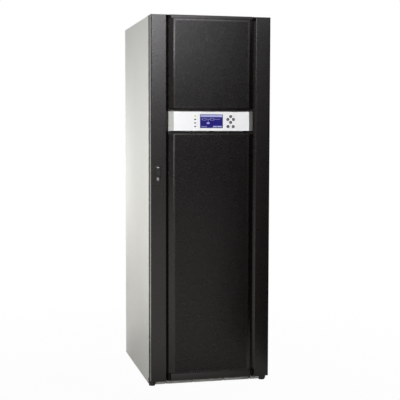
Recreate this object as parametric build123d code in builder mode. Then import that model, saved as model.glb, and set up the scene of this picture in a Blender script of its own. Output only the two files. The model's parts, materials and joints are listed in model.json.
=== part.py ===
"""Tall free-standing online uninterruptible power supply, in millimetres.

The cabinet stands on four corner feet with its front towards -Y. A steel frame carries the
outer panels and a closed equipment block. One full-height door hangs on the right: two hollow
stiles, a perforated panel above and below, and a control strip between them. A small latch
turns on the left stile. The origin is at the bottom centre of the whole, +Z up.

Depths are measured backwards from the front face of the door's stiles.
"""

import os

from build123d import *

os.makedirs("parts", exist_ok=True)

# Overall sizes of the cabinet and its sheet metal
WIDTH = 618.0
HEIGHT = 1876.0
CABINET_DEPTH = 762.0
SHEET = 2.0
SIDE_FOLD = 10.0
TOP_FOLD = 20.0
REAR_FOLD = 18.0
PANEL_BOTTOM = 6.0
PANEL_SEAM = 2.0

# Steel frame: posts, base rails and top beams are square tubes
POST_WIDTH = 40.0
TUBE_WALL = 3.0
FRAME_SETBACK = 6.0
BASE_HEIGHT = 50.0
TOP_BEAM_HEIGHT = 40.0

# Corner feet: a block on a round levelling pad
FOOT_WIDTH = 33.0
FOOT_HEIGHT = 36.0
FOOT_PAD_RADIUS = 16.0
FOOT_PAD_HEIGHT = 8.0
REAR_FOOT_INSET = 12.0
FOOT_EDGE = 2.0
FOOT_CLEARANCE = 2.0

# Skirts between the feet, with narrow slits in the front one
SKIRT_BOTTOM = 5.7
SKIRT_LAP = 40.0
SLIT_WIDTH = 6.0
SLIT_HEIGHT = 22.0
SLIT_OUTER_X = 223.0
SLIT_INNER_X = 79.0

# Closed equipment block, plates on its front and panels at the rear
BLOCK_GAP = 4.0
SHIELD_SEAM = 3.0
LOWER_SHIELD_HEIGHT = 610.0
MIDDLE_SHIELD_HEIGHT = 550.0
GRILLE_HEIGHT = 600.0
REAR_UPPER_HEIGHT = 352.0

# Door: stiles, inner frame and raised panels
DOOR_DEPTH = 40.0
DOOR_GAP = 12.0
DOOR_BOTTOM = 34.0
STILE_FACE_WIDTH = 76.0
STILE_SLANT_WIDTH = 13.0
STILE_SLANT_DEPTH = 11.0
STILE_EDGE = 3.0
STILE_OUTER_EDGE = 7.0
DOOR_FRAME_DEPTH = 14.0
UPRIGHT_WIDTH = 40.0
END_CROSSBAR_HEIGHT = 60.0
MID_CROSSBAR_HEIGHT = 40.0
PANEL_GAP = 1.5
PANEL_PROUD = 8.0
PANEL_BEVEL_WIDTH = 23.0
PANEL_BEVEL_DEPTH = 16.0
BOTTOM_BAR_RAISE = 2.0
BAR_GAP = 2.0
BAR_INSET = 4.5
BAR_LEAN = 1.0
TOP_BAR_HEIGHT = 22.5
BOTTOM_BAR_HEIGHT = 34.5
FILTER_THICK = 14.0
FILTER_CLEARANCE = 0.5

# Control strip with its display, lamps and keys
CONTROL_DROP = 476.8
CONTROL_HEIGHT = 97.7
GAP_BELOW_CONTROL = 15.0
GAP_ABOVE_CONTROL = 16.0
HOUSING_WIDTH = 300.0
HOUSING_SEAM = 1.5
HOUSING_FRONT_GAP = 1.0
HOUSING_REAR_SETBACK = 2.0
FITTING_CLEARANCE = 0.3
DISPLAY_X = -1.5
DISPLAY_WIDTH = 116.0
DISPLAY_HEIGHT = 66.0
DISPLAY_RECESS = 0.5
LAMP_X = -86.0
LAMP_WIDTH = 10.0
LAMP_HEIGHT = 6.0
LAMP_PITCH = 17.6
LAMP_COUNT = 4
LAMP_PROUD = 0.8
KEY_RADIUS = 7.8
KEY_PROUD = 1.2
KEYS_X = 98.0
KEYS_CROSS_RISE = 9.5
KEYS_CROSS_REACH = 14.7
KEYS_PAIR_DROP = 26.3
KEYS_PAIR_REACH = 13.7

# Door hinges: an arm on the right front post between two lugs and a pin on the door
HINGE_INSET = 9.0
HINGE_DEPTH = 30.0
HINGE_END_DISTANCE = 230.0
HINGE_PIN_RADIUS = 3.0
HINGE_EYE_RADIUS = 6.0
HINGE_ARM_THICK = 6.0
HINGE_LUG_THICK = 5.0
HINGE_LUG_GAP = 0.5
RUNNING_CLEARANCE = 0.05
ARM_FOOT_WIDTH = 19.0
ARM_FOOT_HEIGHT = 50.0
ARM_FOOT_THICK = 4.0
ARM_FOOT_INSET = 2.0
LEAF_WIDTH = 22.0
LEAF_HEIGHT = 50.0
LEAF_THICK = 3.0
NOTCH_FRONT = 14.0
NOTCH_CLEARANCE = 6.0

# Latch and lock on the left stile
LATCH_INSET = 33.5
LATCH_Z = 1080.5
LATCH_WIDTH = 26.0
LATCH_HEIGHT = 99.0
LATCH_PLATE_THICK = 4.0
LEVER_RISE = 36.5
LEVER_WIDTH = 20.0
LEVER_LENGTH = 53.0
LEVER_THICK = 8.0
LEVER_STANDOFF = 5.3
LEVER_EDGE = 1.5
CAP_RADIUS = 7.0
CAP_THICK = 1.5
SPINDLE_RADIUS = 6.0
SPINDLE_REACH = 33.0
CAM_WIDTH = 14.0
CAM_LENGTH = 26.0
CAM_THICK = 3.0
LOCK_DROP = 18.5
LOCK_RADIUS = 8.0
LOCK_PROUD = 2.0
LOCK_REACH = 24.0
LOCK_CLEARANCE = 0.1

# Levels and planes worked out from the sizes above
lever_front = LATCH_PLATE_THICK + LEVER_STANDOFF + LEVER_THICK
front_reach = lever_front + CAP_THICK
cabinet_front = DOOR_DEPTH + DOOR_GAP
cabinet_rear = cabinet_front + CABINET_DEPTH
face_y = (front_reach - cabinet_rear) / 2
inner_x = WIDTH / 2 - SIDE_FOLD
post_inner_x = inner_x - POST_WIDTH
post_x = inner_x - POST_WIDTH / 2
frame_front = cabinet_front + FRAME_SETBACK
frame_rear = cabinet_rear - REAR_FOLD
base_top = FOOT_HEIGHT + BASE_HEIGHT
beam_top = HEIGHT - TOP_FOLD
beam_bottom = beam_top - TOP_BEAM_HEIGHT
foot_x = WIDTH / 2 - FOOT_WIDTH / 2
rear_foot_x = foot_x - REAR_FOOT_INSET
stile_inner_x = WIDTH / 2 - STILE_FACE_WIDTH - STILE_SLANT_WIDTH
panel_half = stile_inner_x - PANEL_GAP
panel_face_half = panel_half - PANEL_BEVEL_WIDTH
bevel_base = PANEL_BEVEL_DEPTH - PANEL_PROUD
bar_half = panel_half - BAR_INSET
door_frame_front = DOOR_DEPTH - DOOR_FRAME_DEPTH
door_frame_bottom = DOOR_BOTTOM + BOTTOM_BAR_RAISE
top_bar_bottom = HEIGHT - TOP_BAR_HEIGHT
bottom_bar_top = door_frame_bottom + BOTTOM_BAR_HEIGHT
control_top = HEIGHT - CONTROL_DROP
control_bottom = control_top - CONTROL_HEIGHT
control_z = control_bottom + CONTROL_HEIGHT / 2
lower_panel_bottom = bottom_bar_top + BAR_GAP
lower_panel_top = control_bottom - GAP_BELOW_CONTROL
upper_panel_bottom = control_top + GAP_ABOVE_CONTROL
upper_panel_top = top_bar_bottom - BAR_GAP
housing_bottom = control_bottom + SHEET + HOUSING_SEAM
housing_top = control_top - SHEET - HOUSING_SEAM
housing_front = HOUSING_FRONT_GAP + SHEET - PANEL_PROUD
hinge_x = WIDTH / 2 - HINGE_INSET
latch_x = LATCH_INSET - WIDTH / 2
pivot_z = LATCH_Z + LEVER_RISE
lock_z = LATCH_Z - LOCK_DROP

hinge_heights = [
    DOOR_BOTTOM + HINGE_END_DISTANCE,
    (DOOR_BOTTOM + HEIGHT) / 2,
    HEIGHT - HINGE_END_DISTANCE,
]
lamp_spots = [
    (LAMP_X, control_z + (i - (LAMP_COUNT - 1) / 2) * LAMP_PITCH) for i in range(LAMP_COUNT)
]
key_spots = [
    (KEYS_X, control_z + KEYS_CROSS_RISE + KEYS_CROSS_REACH),
    (KEYS_X, control_z + KEYS_CROSS_RISE - KEYS_CROSS_REACH),
    (KEYS_X - KEYS_CROSS_REACH, control_z + KEYS_CROSS_RISE),
    (KEYS_X + KEYS_CROSS_REACH, control_z + KEYS_CROSS_RISE),
    (KEYS_X - KEYS_PAIR_REACH, control_z - KEYS_PAIR_DROP),
    (KEYS_X + KEYS_PAIR_REACH, control_z - KEYS_PAIR_DROP),
]


def depth_y(depth):
    """Y of a depth behind the stiles' face."""
    return face_y + depth


def front_plane(depth):
    """Upright plane at a depth, drawn on in X and Z; a positive extrusion comes forward."""
    return Plane.XZ.offset(-depth_y(depth))


def draw_tube(width, height):
    """Rectangular tube section in the current sketch."""
    Rectangle(width, height)
    Rectangle(width - 2 * TUBE_WALL, height - 2 * TUBE_WALL, mode=Mode.SUBTRACT)


def draw_panel_plan():
    """Plan of a raised door panel, bevelled at both sides, in the current sketch."""
    Polygon(
        (-panel_half, depth_y(door_frame_front)),
        (-panel_half, depth_y(bevel_base)),
        (-panel_face_half, depth_y(-PANEL_PROUD)),
        (panel_face_half, depth_y(-PANEL_PROUD)),
        (panel_half, depth_y(bevel_base)),
        (panel_half, depth_y(door_frame_front)),
        align=None,
    )


def draw_stile_plan(side):
    """Plan of a stile, with its slanted inner flank, in the current sketch; side is -1 or 1."""
    Polygon(
        (side * WIDTH / 2, depth_y(0)),
        (side * (WIDTH / 2 - STILE_FACE_WIDTH), depth_y(0)),
        (side * stile_inner_x, depth_y(STILE_SLANT_DEPTH)),
        (side * stile_inner_x, depth_y(DOOR_DEPTH)),
        (side * WIDTH / 2, depth_y(DOOR_DEPTH)),
        align=None,
    )


def keep(piece, name):
    """Label a finished piece and write it."""
    piece.label = name
    export_step(piece, f"parts/{name}.step")


# Corner feet
with BuildPart() as corner_feet:
    front_foot_y = depth_y(cabinet_front + FOOT_WIDTH / 2)
    rear_foot_y = depth_y(cabinet_rear - FOOT_WIDTH / 2)
    foot_spots = [
        (-foot_x, front_foot_y),
        (foot_x, front_foot_y),
        (-rear_foot_x, rear_foot_y),
        (rear_foot_x, rear_foot_y),
    ]
    with BuildSketch(Plane.XY.offset(FOOT_PAD_HEIGHT)):
        with Locations(*foot_spots):
            Rectangle(FOOT_WIDTH, FOOT_WIDTH)
    extrude(amount=FOOT_HEIGHT - FOOT_PAD_HEIGHT)
    chamfer(corner_feet.edges().filter_by(Axis.Z), FOOT_EDGE)
    with BuildSketch():
        with Locations(*foot_spots):
            Circle(FOOT_PAD_RADIUS)
    extrude(amount=FOOT_PAD_HEIGHT)
keep(corner_feet.part, "corner_feet")

# Base side rails
with BuildPart() as base_side_rails:
    with BuildSketch(front_plane(frame_rear)):
        with Locations((post_x, FOOT_HEIGHT + BASE_HEIGHT / 2)):
            draw_tube(POST_WIDTH, BASE_HEIGHT)
    extrude(amount=frame_rear - frame_front)
    mirror(about=Plane.YZ)
keep(base_side_rails.part, "base_side_rails")

# Base cross rails
with BuildPart() as base_cross_rails:
    with BuildSketch(Plane.YZ.offset(-post_inner_x)):
        with Locations(
            (depth_y(frame_front + POST_WIDTH / 2), FOOT_HEIGHT + BASE_HEIGHT / 2),
            (depth_y(frame_rear - POST_WIDTH / 2), FOOT_HEIGHT + BASE_HEIGHT / 2),
        ):
            draw_tube(POST_WIDTH, BASE_HEIGHT)
    extrude(amount=2 * post_inner_x)
keep(base_cross_rails.part, "base_cross_rails")

# Front skirt, with slits open at its lower edge
with BuildPart() as front_skirt:
    skirt_half = foot_x - FOOT_WIDTH / 2 - FOOT_CLEARANCE
    skirt_height = FOOT_HEIGHT + SKIRT_LAP - SKIRT_BOTTOM
    with BuildSketch(front_plane(frame_front)):
        with Locations((0, SKIRT_BOTTOM + skirt_height / 2)):
            Rectangle(2 * skirt_half, skirt_height)
        with Locations(
            *[
                (side * x, SKIRT_BOTTOM + SLIT_HEIGHT / 2)
                for side in (-1, 1)
                for x in (SLIT_OUTER_X, SLIT_INNER_X)
            ]
        ):
            Rectangle(SLIT_WIDTH, SLIT_HEIGHT, mode=Mode.SUBTRACT)
    extrude(amount=SHEET)
keep(front_skirt.part, "front_skirt")

# Rear skirt, under the rear rail
with BuildPart() as rear_skirt:
    rear_skirt_half = rear_foot_x - FOOT_WIDTH / 2 - FOOT_CLEARANCE
    with BuildSketch(front_plane(frame_rear)):
        with Locations((0, (SKIRT_BOTTOM + FOOT_HEIGHT) / 2)):
            Rectangle(2 * rear_skirt_half, FOOT_HEIGHT - SKIRT_BOTTOM)
    extrude(amount=SHEET)
keep(rear_skirt.part, "rear_skirt")

# Front and rear posts
post_depths = {
    "front_posts": frame_front + POST_WIDTH / 2,
    "rear_posts": frame_rear - POST_WIDTH / 2,
}
for post_name, post_depth in post_depths.items():
    with BuildPart() as posts:
        with BuildSketch(Plane.XY.offset(base_top)):
            with Locations((-post_x, depth_y(post_depth)), (post_x, depth_y(post_depth))):
                draw_tube(POST_WIDTH, POST_WIDTH)
        extrude(amount=beam_bottom - base_top)
    keep(posts.part, post_name)

# Top side beams
with BuildPart() as top_side_beams:
    with BuildSketch(front_plane(frame_rear)):
        with Locations((post_x, (beam_bottom + beam_top) / 2)):
            draw_tube(POST_WIDTH, TOP_BEAM_HEIGHT)
    extrude(amount=frame_rear - frame_front)
    mirror(about=Plane.YZ)
keep(top_side_beams.part, "top_side_beams")

# Top cross beams
with BuildPart() as top_cross_beams:
    with BuildSketch(Plane.YZ.offset(-post_inner_x)):
        with Locations(
            (depth_y(frame_front + POST_WIDTH / 2), (beam_bottom + beam_top) / 2),
            (depth_y(frame_rear - POST_WIDTH / 2), (beam_bottom + beam_top) / 2),
        ):
            draw_tube(POST_WIDTH, TOP_BEAM_HEIGHT)
    extrude(amount=2 * post_inner_x)
keep(top_cross_beams.part, "top_cross_beams")

# Side panels: folded trays, cut away round the front feet
with BuildPart() as left_side_panel:
    notch_top = FOOT_HEIGHT + FOOT_CLEARANCE
    notch_front = cabinet_front + FOOT_WIDTH + FOOT_CLEARANCE
    with BuildSketch(Plane.YZ.offset(-WIDTH / 2)):
        with BuildLine():
            Polyline(
                (depth_y(cabinet_front), notch_top),
                (depth_y(notch_front), notch_top),
                (depth_y(notch_front), PANEL_BOTTOM),
                (depth_y(cabinet_rear), PANEL_BOTTOM),
                (depth_y(cabinet_rear), HEIGHT),
                (depth_y(cabinet_front), HEIGHT),
                close=True,
            )
        make_face()
    extrude(amount=SIDE_FOLD)
    offset(amount=-SHEET, openings=left_side_panel.faces().sort_by(Axis.X)[-1])
keep(left_side_panel.part, "left_side_panel")

with BuildPart() as right_side_panel:
    mirror(left_side_panel.part, about=Plane.YZ)
keep(right_side_panel.part, "right_side_panel")

# Top panel: a folded tray between the side panels
with BuildPart() as top_panel:
    with BuildSketch(Plane.XY.offset(beam_top)):
        with Locations((0, depth_y((cabinet_front + cabinet_rear) / 2))):
            Rectangle(2 * inner_x, CABINET_DEPTH)
    extrude(amount=TOP_FOLD)
    offset(amount=-SHEET, openings=top_panel.faces().sort_by(Axis.Z)[0])
keep(top_panel.part, "top_panel")

# Rear panels: a lower and an upper tray with the exhaust grille between them
rear_upper_bottom = beam_top - PANEL_SEAM - REAR_UPPER_HEIGHT
grille_top = rear_upper_bottom - PANEL_SEAM
grille_bottom = grille_top - GRILLE_HEIGHT
rear_spans = {
    "rear_lower_panel": (FOOT_HEIGHT + FOOT_CLEARANCE, grille_bottom - PANEL_SEAM),
    "rear_exhaust_grille": (grille_bottom, grille_top),
    "rear_upper_panel": (rear_upper_bottom, beam_top - PANEL_SEAM),
}
for rear_name, (span_bottom, span_top) in rear_spans.items():
    with BuildPart() as rear_tray:
        with BuildSketch(front_plane(cabinet_rear)):
            with Locations((0, (span_bottom + span_top) / 2)):
                Rectangle(2 * inner_x, span_top - span_bottom)
        extrude(amount=REAR_FOLD)
        offset(amount=-SHEET, openings=rear_tray.faces().sort_by(Axis.Y)[0])
    keep(rear_tray.part, rear_name)

# Closed equipment block, standing on the base cross rails
block_half = post_inner_x - BLOCK_GAP
block_front = frame_front + SHEET + FRAME_SETBACK
block_rear = frame_rear - FRAME_SETBACK
block_top = beam_bottom - BLOCK_GAP
with BuildPart() as equipment_block:
    with BuildSketch(Plane.XY.offset(base_top)):
        with Locations((0, depth_y((block_front + block_rear) / 2))):
            Rectangle(2 * block_half, block_rear - block_front)
    extrude(amount=block_top - base_top)
keep(equipment_block.part, "equipment_block")

# Plain plates over the front of the block
middle_shield_bottom = base_top + LOWER_SHIELD_HEIGHT + SHIELD_SEAM
upper_shield_bottom = middle_shield_bottom + MIDDLE_SHIELD_HEIGHT + SHIELD_SEAM
shield_spans = {
    "lower_shield": (base_top, base_top + LOWER_SHIELD_HEIGHT),
    "middle_shield": (middle_shield_bottom, middle_shield_bottom + MIDDLE_SHIELD_HEIGHT),
    "upper_shield": (upper_shield_bottom, block_top),
}
for shield_name, (span_bottom, span_top) in shield_spans.items():
    with BuildPart() as shield:
        with BuildSketch(front_plane(block_front)):
            with Locations((0, (span_bottom + span_top) / 2)):
                Rectangle(2 * block_half, span_top - span_bottom)
        extrude(amount=SHEET)
    keep(shield.part, shield_name)

# Hinge arms on the right front post
with BuildPart() as hinge_arms:
    arm_foot_x = inner_x - ARM_FOOT_INSET - ARM_FOOT_WIDTH / 2
    for hinge_z in hinge_heights:
        with BuildSketch(Plane.XY.offset(hinge_z - HINGE_ARM_THICK / 2)):
            with Locations((hinge_x, depth_y(HINGE_DEPTH))):
                Circle(HINGE_EYE_RADIUS)
            with Locations((arm_foot_x, depth_y(frame_front - ARM_FOOT_THICK / 2))):
                Rectangle(ARM_FOOT_WIDTH, ARM_FOOT_THICK)
            make_hull()
            with Locations((hinge_x, depth_y(HINGE_DEPTH))):
                Circle(HINGE_PIN_RADIUS + RUNNING_CLEARANCE, mode=Mode.SUBTRACT)
        extrude(amount=HINGE_ARM_THICK)
        with BuildSketch(front_plane(frame_front)):
            with Locations((arm_foot_x, hinge_z)):
                Rectangle(ARM_FOOT_WIDTH, ARM_FOOT_HEIGHT)
        extrude(amount=ARM_FOOT_THICK)
keep(hinge_arms.part, "hinge_arms")

# Left stile: a hollow folded section, open at the back, bored for the latch and the lock
with BuildPart() as left_stile:
    with BuildSketch(Plane.XY.offset(DOOR_BOTTOM)):
        draw_stile_plan(-1)
    extrude(amount=HEIGHT - DOOR_BOTTOM)
    stile_front_edges = left_stile.faces().sort_by(Axis.Y)[0].edges().filter_by(Axis.Z)
    fillet(stile_front_edges.sort_by(Axis.X)[0], STILE_OUTER_EDGE)
    stile_front_edges = left_stile.faces().sort_by(Axis.Y)[0].edges().filter_by(Axis.Z)
    fillet(stile_front_edges.sort_by(Axis.X)[-1], STILE_EDGE)
    offset(amount=-SHEET, openings=left_stile.faces().sort_by(Axis.Y)[-1])
    with BuildSketch(front_plane(SHEET)):
        with Locations((latch_x, pivot_z)):
            Circle(SPINDLE_RADIUS + RUNNING_CLEARANCE)
        with Locations((latch_x, lock_z)):
            Circle(LOCK_RADIUS + LOCK_CLEARANCE)
    extrude(amount=SHEET, mode=Mode.SUBTRACT)
keep(left_stile.part, "left_stile")

# Right stile: the mirrored section, notched where the hinge arms swing through its flank
with BuildPart() as right_stile:
    with BuildSketch(Plane.XY.offset(DOOR_BOTTOM)):
        draw_stile_plan(1)
    extrude(amount=HEIGHT - DOOR_BOTTOM)
    stile_front_edges = right_stile.faces().sort_by(Axis.Y)[0].edges().filter_by(Axis.Z)
    fillet(stile_front_edges.sort_by(Axis.X)[-1], STILE_OUTER_EDGE)
    stile_front_edges = right_stile.faces().sort_by(Axis.Y)[0].edges().filter_by(Axis.Z)
    fillet(stile_front_edges.sort_by(Axis.X)[0], STILE_EDGE)
    offset(amount=-SHEET, openings=right_stile.faces().sort_by(Axis.Y)[-1])
    notch_height = HINGE_ARM_THICK + 2 * NOTCH_CLEARANCE
    notch_depth = DOOR_DEPTH - (HINGE_DEPTH - NOTCH_FRONT)
    with BuildSketch(Plane.YZ.offset(WIDTH / 2 - SHEET)):
        with Locations(*[(depth_y(DOOR_DEPTH - notch_depth / 2), z) for z in hinge_heights]):
            Rectangle(notch_depth, notch_height)
    extrude(amount=SHEET, mode=Mode.SUBTRACT)
keep(right_stile.part, "right_stile")

# Hinge leaves inside the right stile: a plate, two lugs and a pin each
with BuildPart() as hinge_leaves:
    leaf_x = WIDTH / 2 - STILE_OUTER_EDGE - LEAF_WIDTH / 2
    lug_offset = HINGE_ARM_THICK / 2 + HINGE_LUG_GAP
    pin_half = lug_offset + HINGE_LUG_THICK
    for hinge_z in hinge_heights:
        with BuildSketch(front_plane(SHEET + LEAF_THICK)):
            with Locations((leaf_x, hinge_z)):
                Rectangle(LEAF_WIDTH, LEAF_HEIGHT)
        extrude(amount=LEAF_THICK)
        for lug_z in (hinge_z + lug_offset, hinge_z - pin_half):
            with BuildSketch(Plane.XY.offset(lug_z)):
                with Locations((hinge_x, depth_y(HINGE_DEPTH))):
                    Circle(HINGE_EYE_RADIUS)
                with Locations((leaf_x, depth_y(SHEET + LEAF_THICK / 2))):
                    Rectangle(LEAF_WIDTH, LEAF_THICK)
                make_hull()
            extrude(amount=HINGE_LUG_THICK)
        with BuildSketch(Plane.XY.offset(hinge_z - pin_half)):
            with Locations((hinge_x, depth_y(HINGE_DEPTH))):
                Circle(HINGE_PIN_RADIUS)
        extrude(amount=2 * pin_half)
keep(hinge_leaves.part, "hinge_leaves")

# Inner door frame: two uprights between the stiles
with BuildPart() as door_uprights:
    upright_x = stile_inner_x - UPRIGHT_WIDTH / 2
    upright_depth = door_frame_front + DOOR_FRAME_DEPTH / 2
    with BuildSketch(Plane.XY.offset(door_frame_bottom)):
        with Locations((-upright_x, depth_y(upright_depth)), (upright_x, depth_y(upright_depth))):
            draw_tube(UPRIGHT_WIDTH, DOOR_FRAME_DEPTH)
    extrude(amount=HEIGHT - door_frame_bottom)
keep(door_uprights.part, "door_uprights")

# Crossbars of the inner door frame, above and below each window
crossbar_spans = [
    (door_frame_bottom, door_frame_bottom + END_CROSSBAR_HEIGHT),
    (housing_bottom - MID_CROSSBAR_HEIGHT, housing_bottom),
    (housing_top, housing_top + MID_CROSSBAR_HEIGHT),
    (HEIGHT - END_CROSSBAR_HEIGHT, HEIGHT),
]
with BuildPart() as door_crossbars:
    upright_inner_x = stile_inner_x - UPRIGHT_WIDTH
    for span_bottom, span_top in crossbar_spans:
        with BuildSketch(Plane.YZ.offset(-upright_inner_x)):
            with Locations((depth_y(upright_depth), (span_bottom + span_top) / 2)):
                draw_tube(DOOR_FRAME_DEPTH, span_top - span_bottom)
        extrude(amount=2 * upright_inner_x)
keep(door_crossbars.part, "door_crossbars")

# Top bar: its face leans back to catch the light
with BuildPart() as top_bar:
    with BuildSketch(Plane.YZ.offset(-bar_half)):
        with BuildLine():
            Polyline(
                (depth_y(-PANEL_PROUD), top_bar_bottom),
                (depth_y(BAR_LEAN - PANEL_PROUD), HEIGHT),
                (depth_y(door_frame_front), HEIGHT),
                (depth_y(door_frame_front), top_bar_bottom),
                close=True,
            )
        make_face()
    extrude(amount=2 * bar_half)
    offset(amount=-SHEET, openings=top_bar.faces().sort_by(Axis.Y)[-1])
keep(top_bar.part, "top_bar")

# Bottom bar
with BuildPart() as bottom_bar:
    with BuildSketch(front_plane(door_frame_front)):
        with Locations((0, (door_frame_bottom + bottom_bar_top) / 2)):
            Rectangle(2 * bar_half, BOTTOM_BAR_HEIGHT)
    extrude(amount=door_frame_front + PANEL_PROUD)
    offset(amount=-SHEET, openings=bottom_bar.faces().sort_by(Axis.Y)[-1])
keep(bottom_bar.part, "bottom_bar")

# Raised panels of the door: bevelled trays, perforated on their faces
panel_spans = {
    "lower_mesh_panel": (lower_panel_bottom, lower_panel_top),
    "upper_mesh_panel": (upper_panel_bottom, upper_panel_top),
}
for panel_name, (span_bottom, span_top) in panel_spans.items():
    with BuildPart() as mesh_panel:
        with BuildSketch(Plane.XY.offset(span_bottom)):
            draw_panel_plan()
        extrude(amount=span_top - span_bottom)
        offset(amount=-SHEET, openings=mesh_panel.faces().sort_by(Axis.Y)[-1])
    keep(mesh_panel.part, panel_name)

# Air filters inside the raised panels, resting on the inner door frame
filter_spans = {
    "lower_filter": (lower_panel_bottom, lower_panel_top),
    "upper_filter": (upper_panel_bottom, upper_panel_top),
}
for filter_name, (span_bottom, span_top) in filter_spans.items():
    with BuildPart() as air_filter:
        filter_margin = SHEET + FILTER_CLEARANCE
        with BuildSketch(front_plane(door_frame_front)):
            with Locations((0, (span_bottom + span_top) / 2)):
                Rectangle(2 * (panel_half - filter_margin), span_top - span_bottom - 2 * filter_margin)
        extrude(amount=FILTER_THICK)
    keep(air_filter.part, filter_name)

# Control fascia, cut out for the display, the lamps and the keys
with BuildPart() as control_fascia:
    with BuildSketch(Plane.XY.offset(control_bottom)):
        draw_panel_plan()
    extrude(amount=CONTROL_HEIGHT)
    offset(amount=-SHEET, openings=control_fascia.faces().sort_by(Axis.Y)[-1])
    with BuildSketch(front_plane(SHEET - PANEL_PROUD)):
        with Locations((DISPLAY_X, control_z)):
            Rectangle(DISPLAY_WIDTH + 2 * FITTING_CLEARANCE, DISPLAY_HEIGHT + 2 * FITTING_CLEARANCE)
        with Locations(*lamp_spots):
            Rectangle(LAMP_WIDTH + 2 * FITTING_CLEARANCE, LAMP_HEIGHT + 2 * FITTING_CLEARANCE)
        with Locations(*key_spots):
            Circle(KEY_RADIUS + FITTING_CLEARANCE)
    extrude(amount=SHEET, mode=Mode.SUBTRACT)
keep(control_fascia.part, "control_fascia")

# Control housing behind the fascia, held between the middle crossbars
with BuildPart() as control_housing:
    with BuildSketch(front_plane(DOOR_DEPTH - HOUSING_REAR_SETBACK)):
        with Locations((0, (housing_bottom + housing_top) / 2)):
            Rectangle(HOUSING_WIDTH, housing_top - housing_bottom)
    extrude(amount=DOOR_DEPTH - HOUSING_REAR_SETBACK - housing_front)
keep(control_housing.part, "control_housing")

# Display window
with BuildPart() as display_window:
    with BuildSketch(front_plane(housing_front)):
        with Locations((DISPLAY_X, control_z)):
            Rectangle(DISPLAY_WIDTH, DISPLAY_HEIGHT)
    extrude(amount=housing_front + PANEL_PROUD - DISPLAY_RECESS)
keep(display_window.part, "display_window")

# Status lamps
with BuildPart() as status_lamps:
    with BuildSketch(front_plane(housing_front)):
        with Locations(*lamp_spots):
            Rectangle(LAMP_WIDTH, LAMP_HEIGHT)
    extrude(amount=housing_front + PANEL_PROUD + LAMP_PROUD)
keep(status_lamps.part, "status_lamps")

# Keys
with BuildPart() as keypad_buttons:
    with BuildSketch(front_plane(housing_front)):
        with Locations(*key_spots):
            Circle(KEY_RADIUS)
    extrude(amount=housing_front + PANEL_PROUD + KEY_PROUD)
keep(keypad_buttons.part, "keypad_buttons")

# Latch plate on the left stile
with BuildPart() as latch_plate:
    with BuildSketch(front_plane(0)):
        with Locations((latch_x, LATCH_Z)):
            SlotOverall(LATCH_HEIGHT, LATCH_WIDTH, rotation=90)
        with Locations((latch_x, pivot_z)):
            Circle(SPINDLE_RADIUS + RUNNING_CLEARANCE, mode=Mode.SUBTRACT)
        with Locations((latch_x, lock_z)):
            Circle(LOCK_RADIUS + LOCK_CLEARANCE, mode=Mode.SUBTRACT)
    extrude(amount=LATCH_PLATE_THICK)
keep(latch_plate.part, "latch_plate")

# Lock cylinder through the plate and the stile
with BuildPart() as lock_cylinder:
    with BuildSketch(front_plane(LOCK_REACH)):
        with Locations((latch_x, lock_z)):
            Circle(LOCK_RADIUS)
    extrude(amount=LOCK_REACH + LATCH_PLATE_THICK + LOCK_PROUD)
keep(lock_cylinder.part, "lock_cylinder")

# Latch lever, hanging from its pivot
with BuildPart() as latch_lever:
    lever_rear = LATCH_PLATE_THICK + LEVER_STANDOFF
    with BuildSketch(front_plane(-lever_rear)):
        with Locations((latch_x, pivot_z + LEVER_WIDTH / 2 - LEVER_LENGTH / 2)):
            SlotOverall(LEVER_LENGTH, LEVER_WIDTH, rotation=90)
    extrude(amount=LEVER_THICK)
    fillet(latch_lever.faces().sort_by(Axis.Y)[0].edges(), LEVER_EDGE)
keep(latch_lever.part, "latch_lever")

# Cap on the lever's pivot
with BuildPart() as latch_cap:
    with BuildSketch(front_plane(-lever_front)):
        with Locations((latch_x, pivot_z)):
            Circle(CAP_RADIUS)
    extrude(amount=CAP_THICK)
keep(latch_cap.part, "latch_cap")

# Spindle through the stile with its cam, which points outwards at rest
with BuildPart() as latch_spindle:
    with BuildSketch(front_plane(SPINDLE_REACH)):
        with Locations((latch_x, pivot_z)):
            Circle(SPINDLE_RADIUS)
    extrude(amount=SPINDLE_REACH + lever_rear)
    with BuildSketch(front_plane(SPINDLE_REACH)):
        with Locations((latch_x, pivot_z)):
            Circle(CAM_WIDTH / 2)
        with Locations((latch_x - CAM_LENGTH / 2, pivot_z)):
            Rectangle(CAM_LENGTH, CAM_WIDTH)
    extrude(amount=CAM_THICK)
keep(latch_spindle.part, "latch_spindle")
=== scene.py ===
"""Looks of the tall online power supply cabinet, in metres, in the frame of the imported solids.

The door's raised panels get their real perforation, the rear grille its slots, the sheet metal
its rounded folds and screws, and the control strip its overlay, display, lamps and keys.
"""

import json
import math

import bmesh
import bpy
from mathutils import Matrix, Vector

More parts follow.
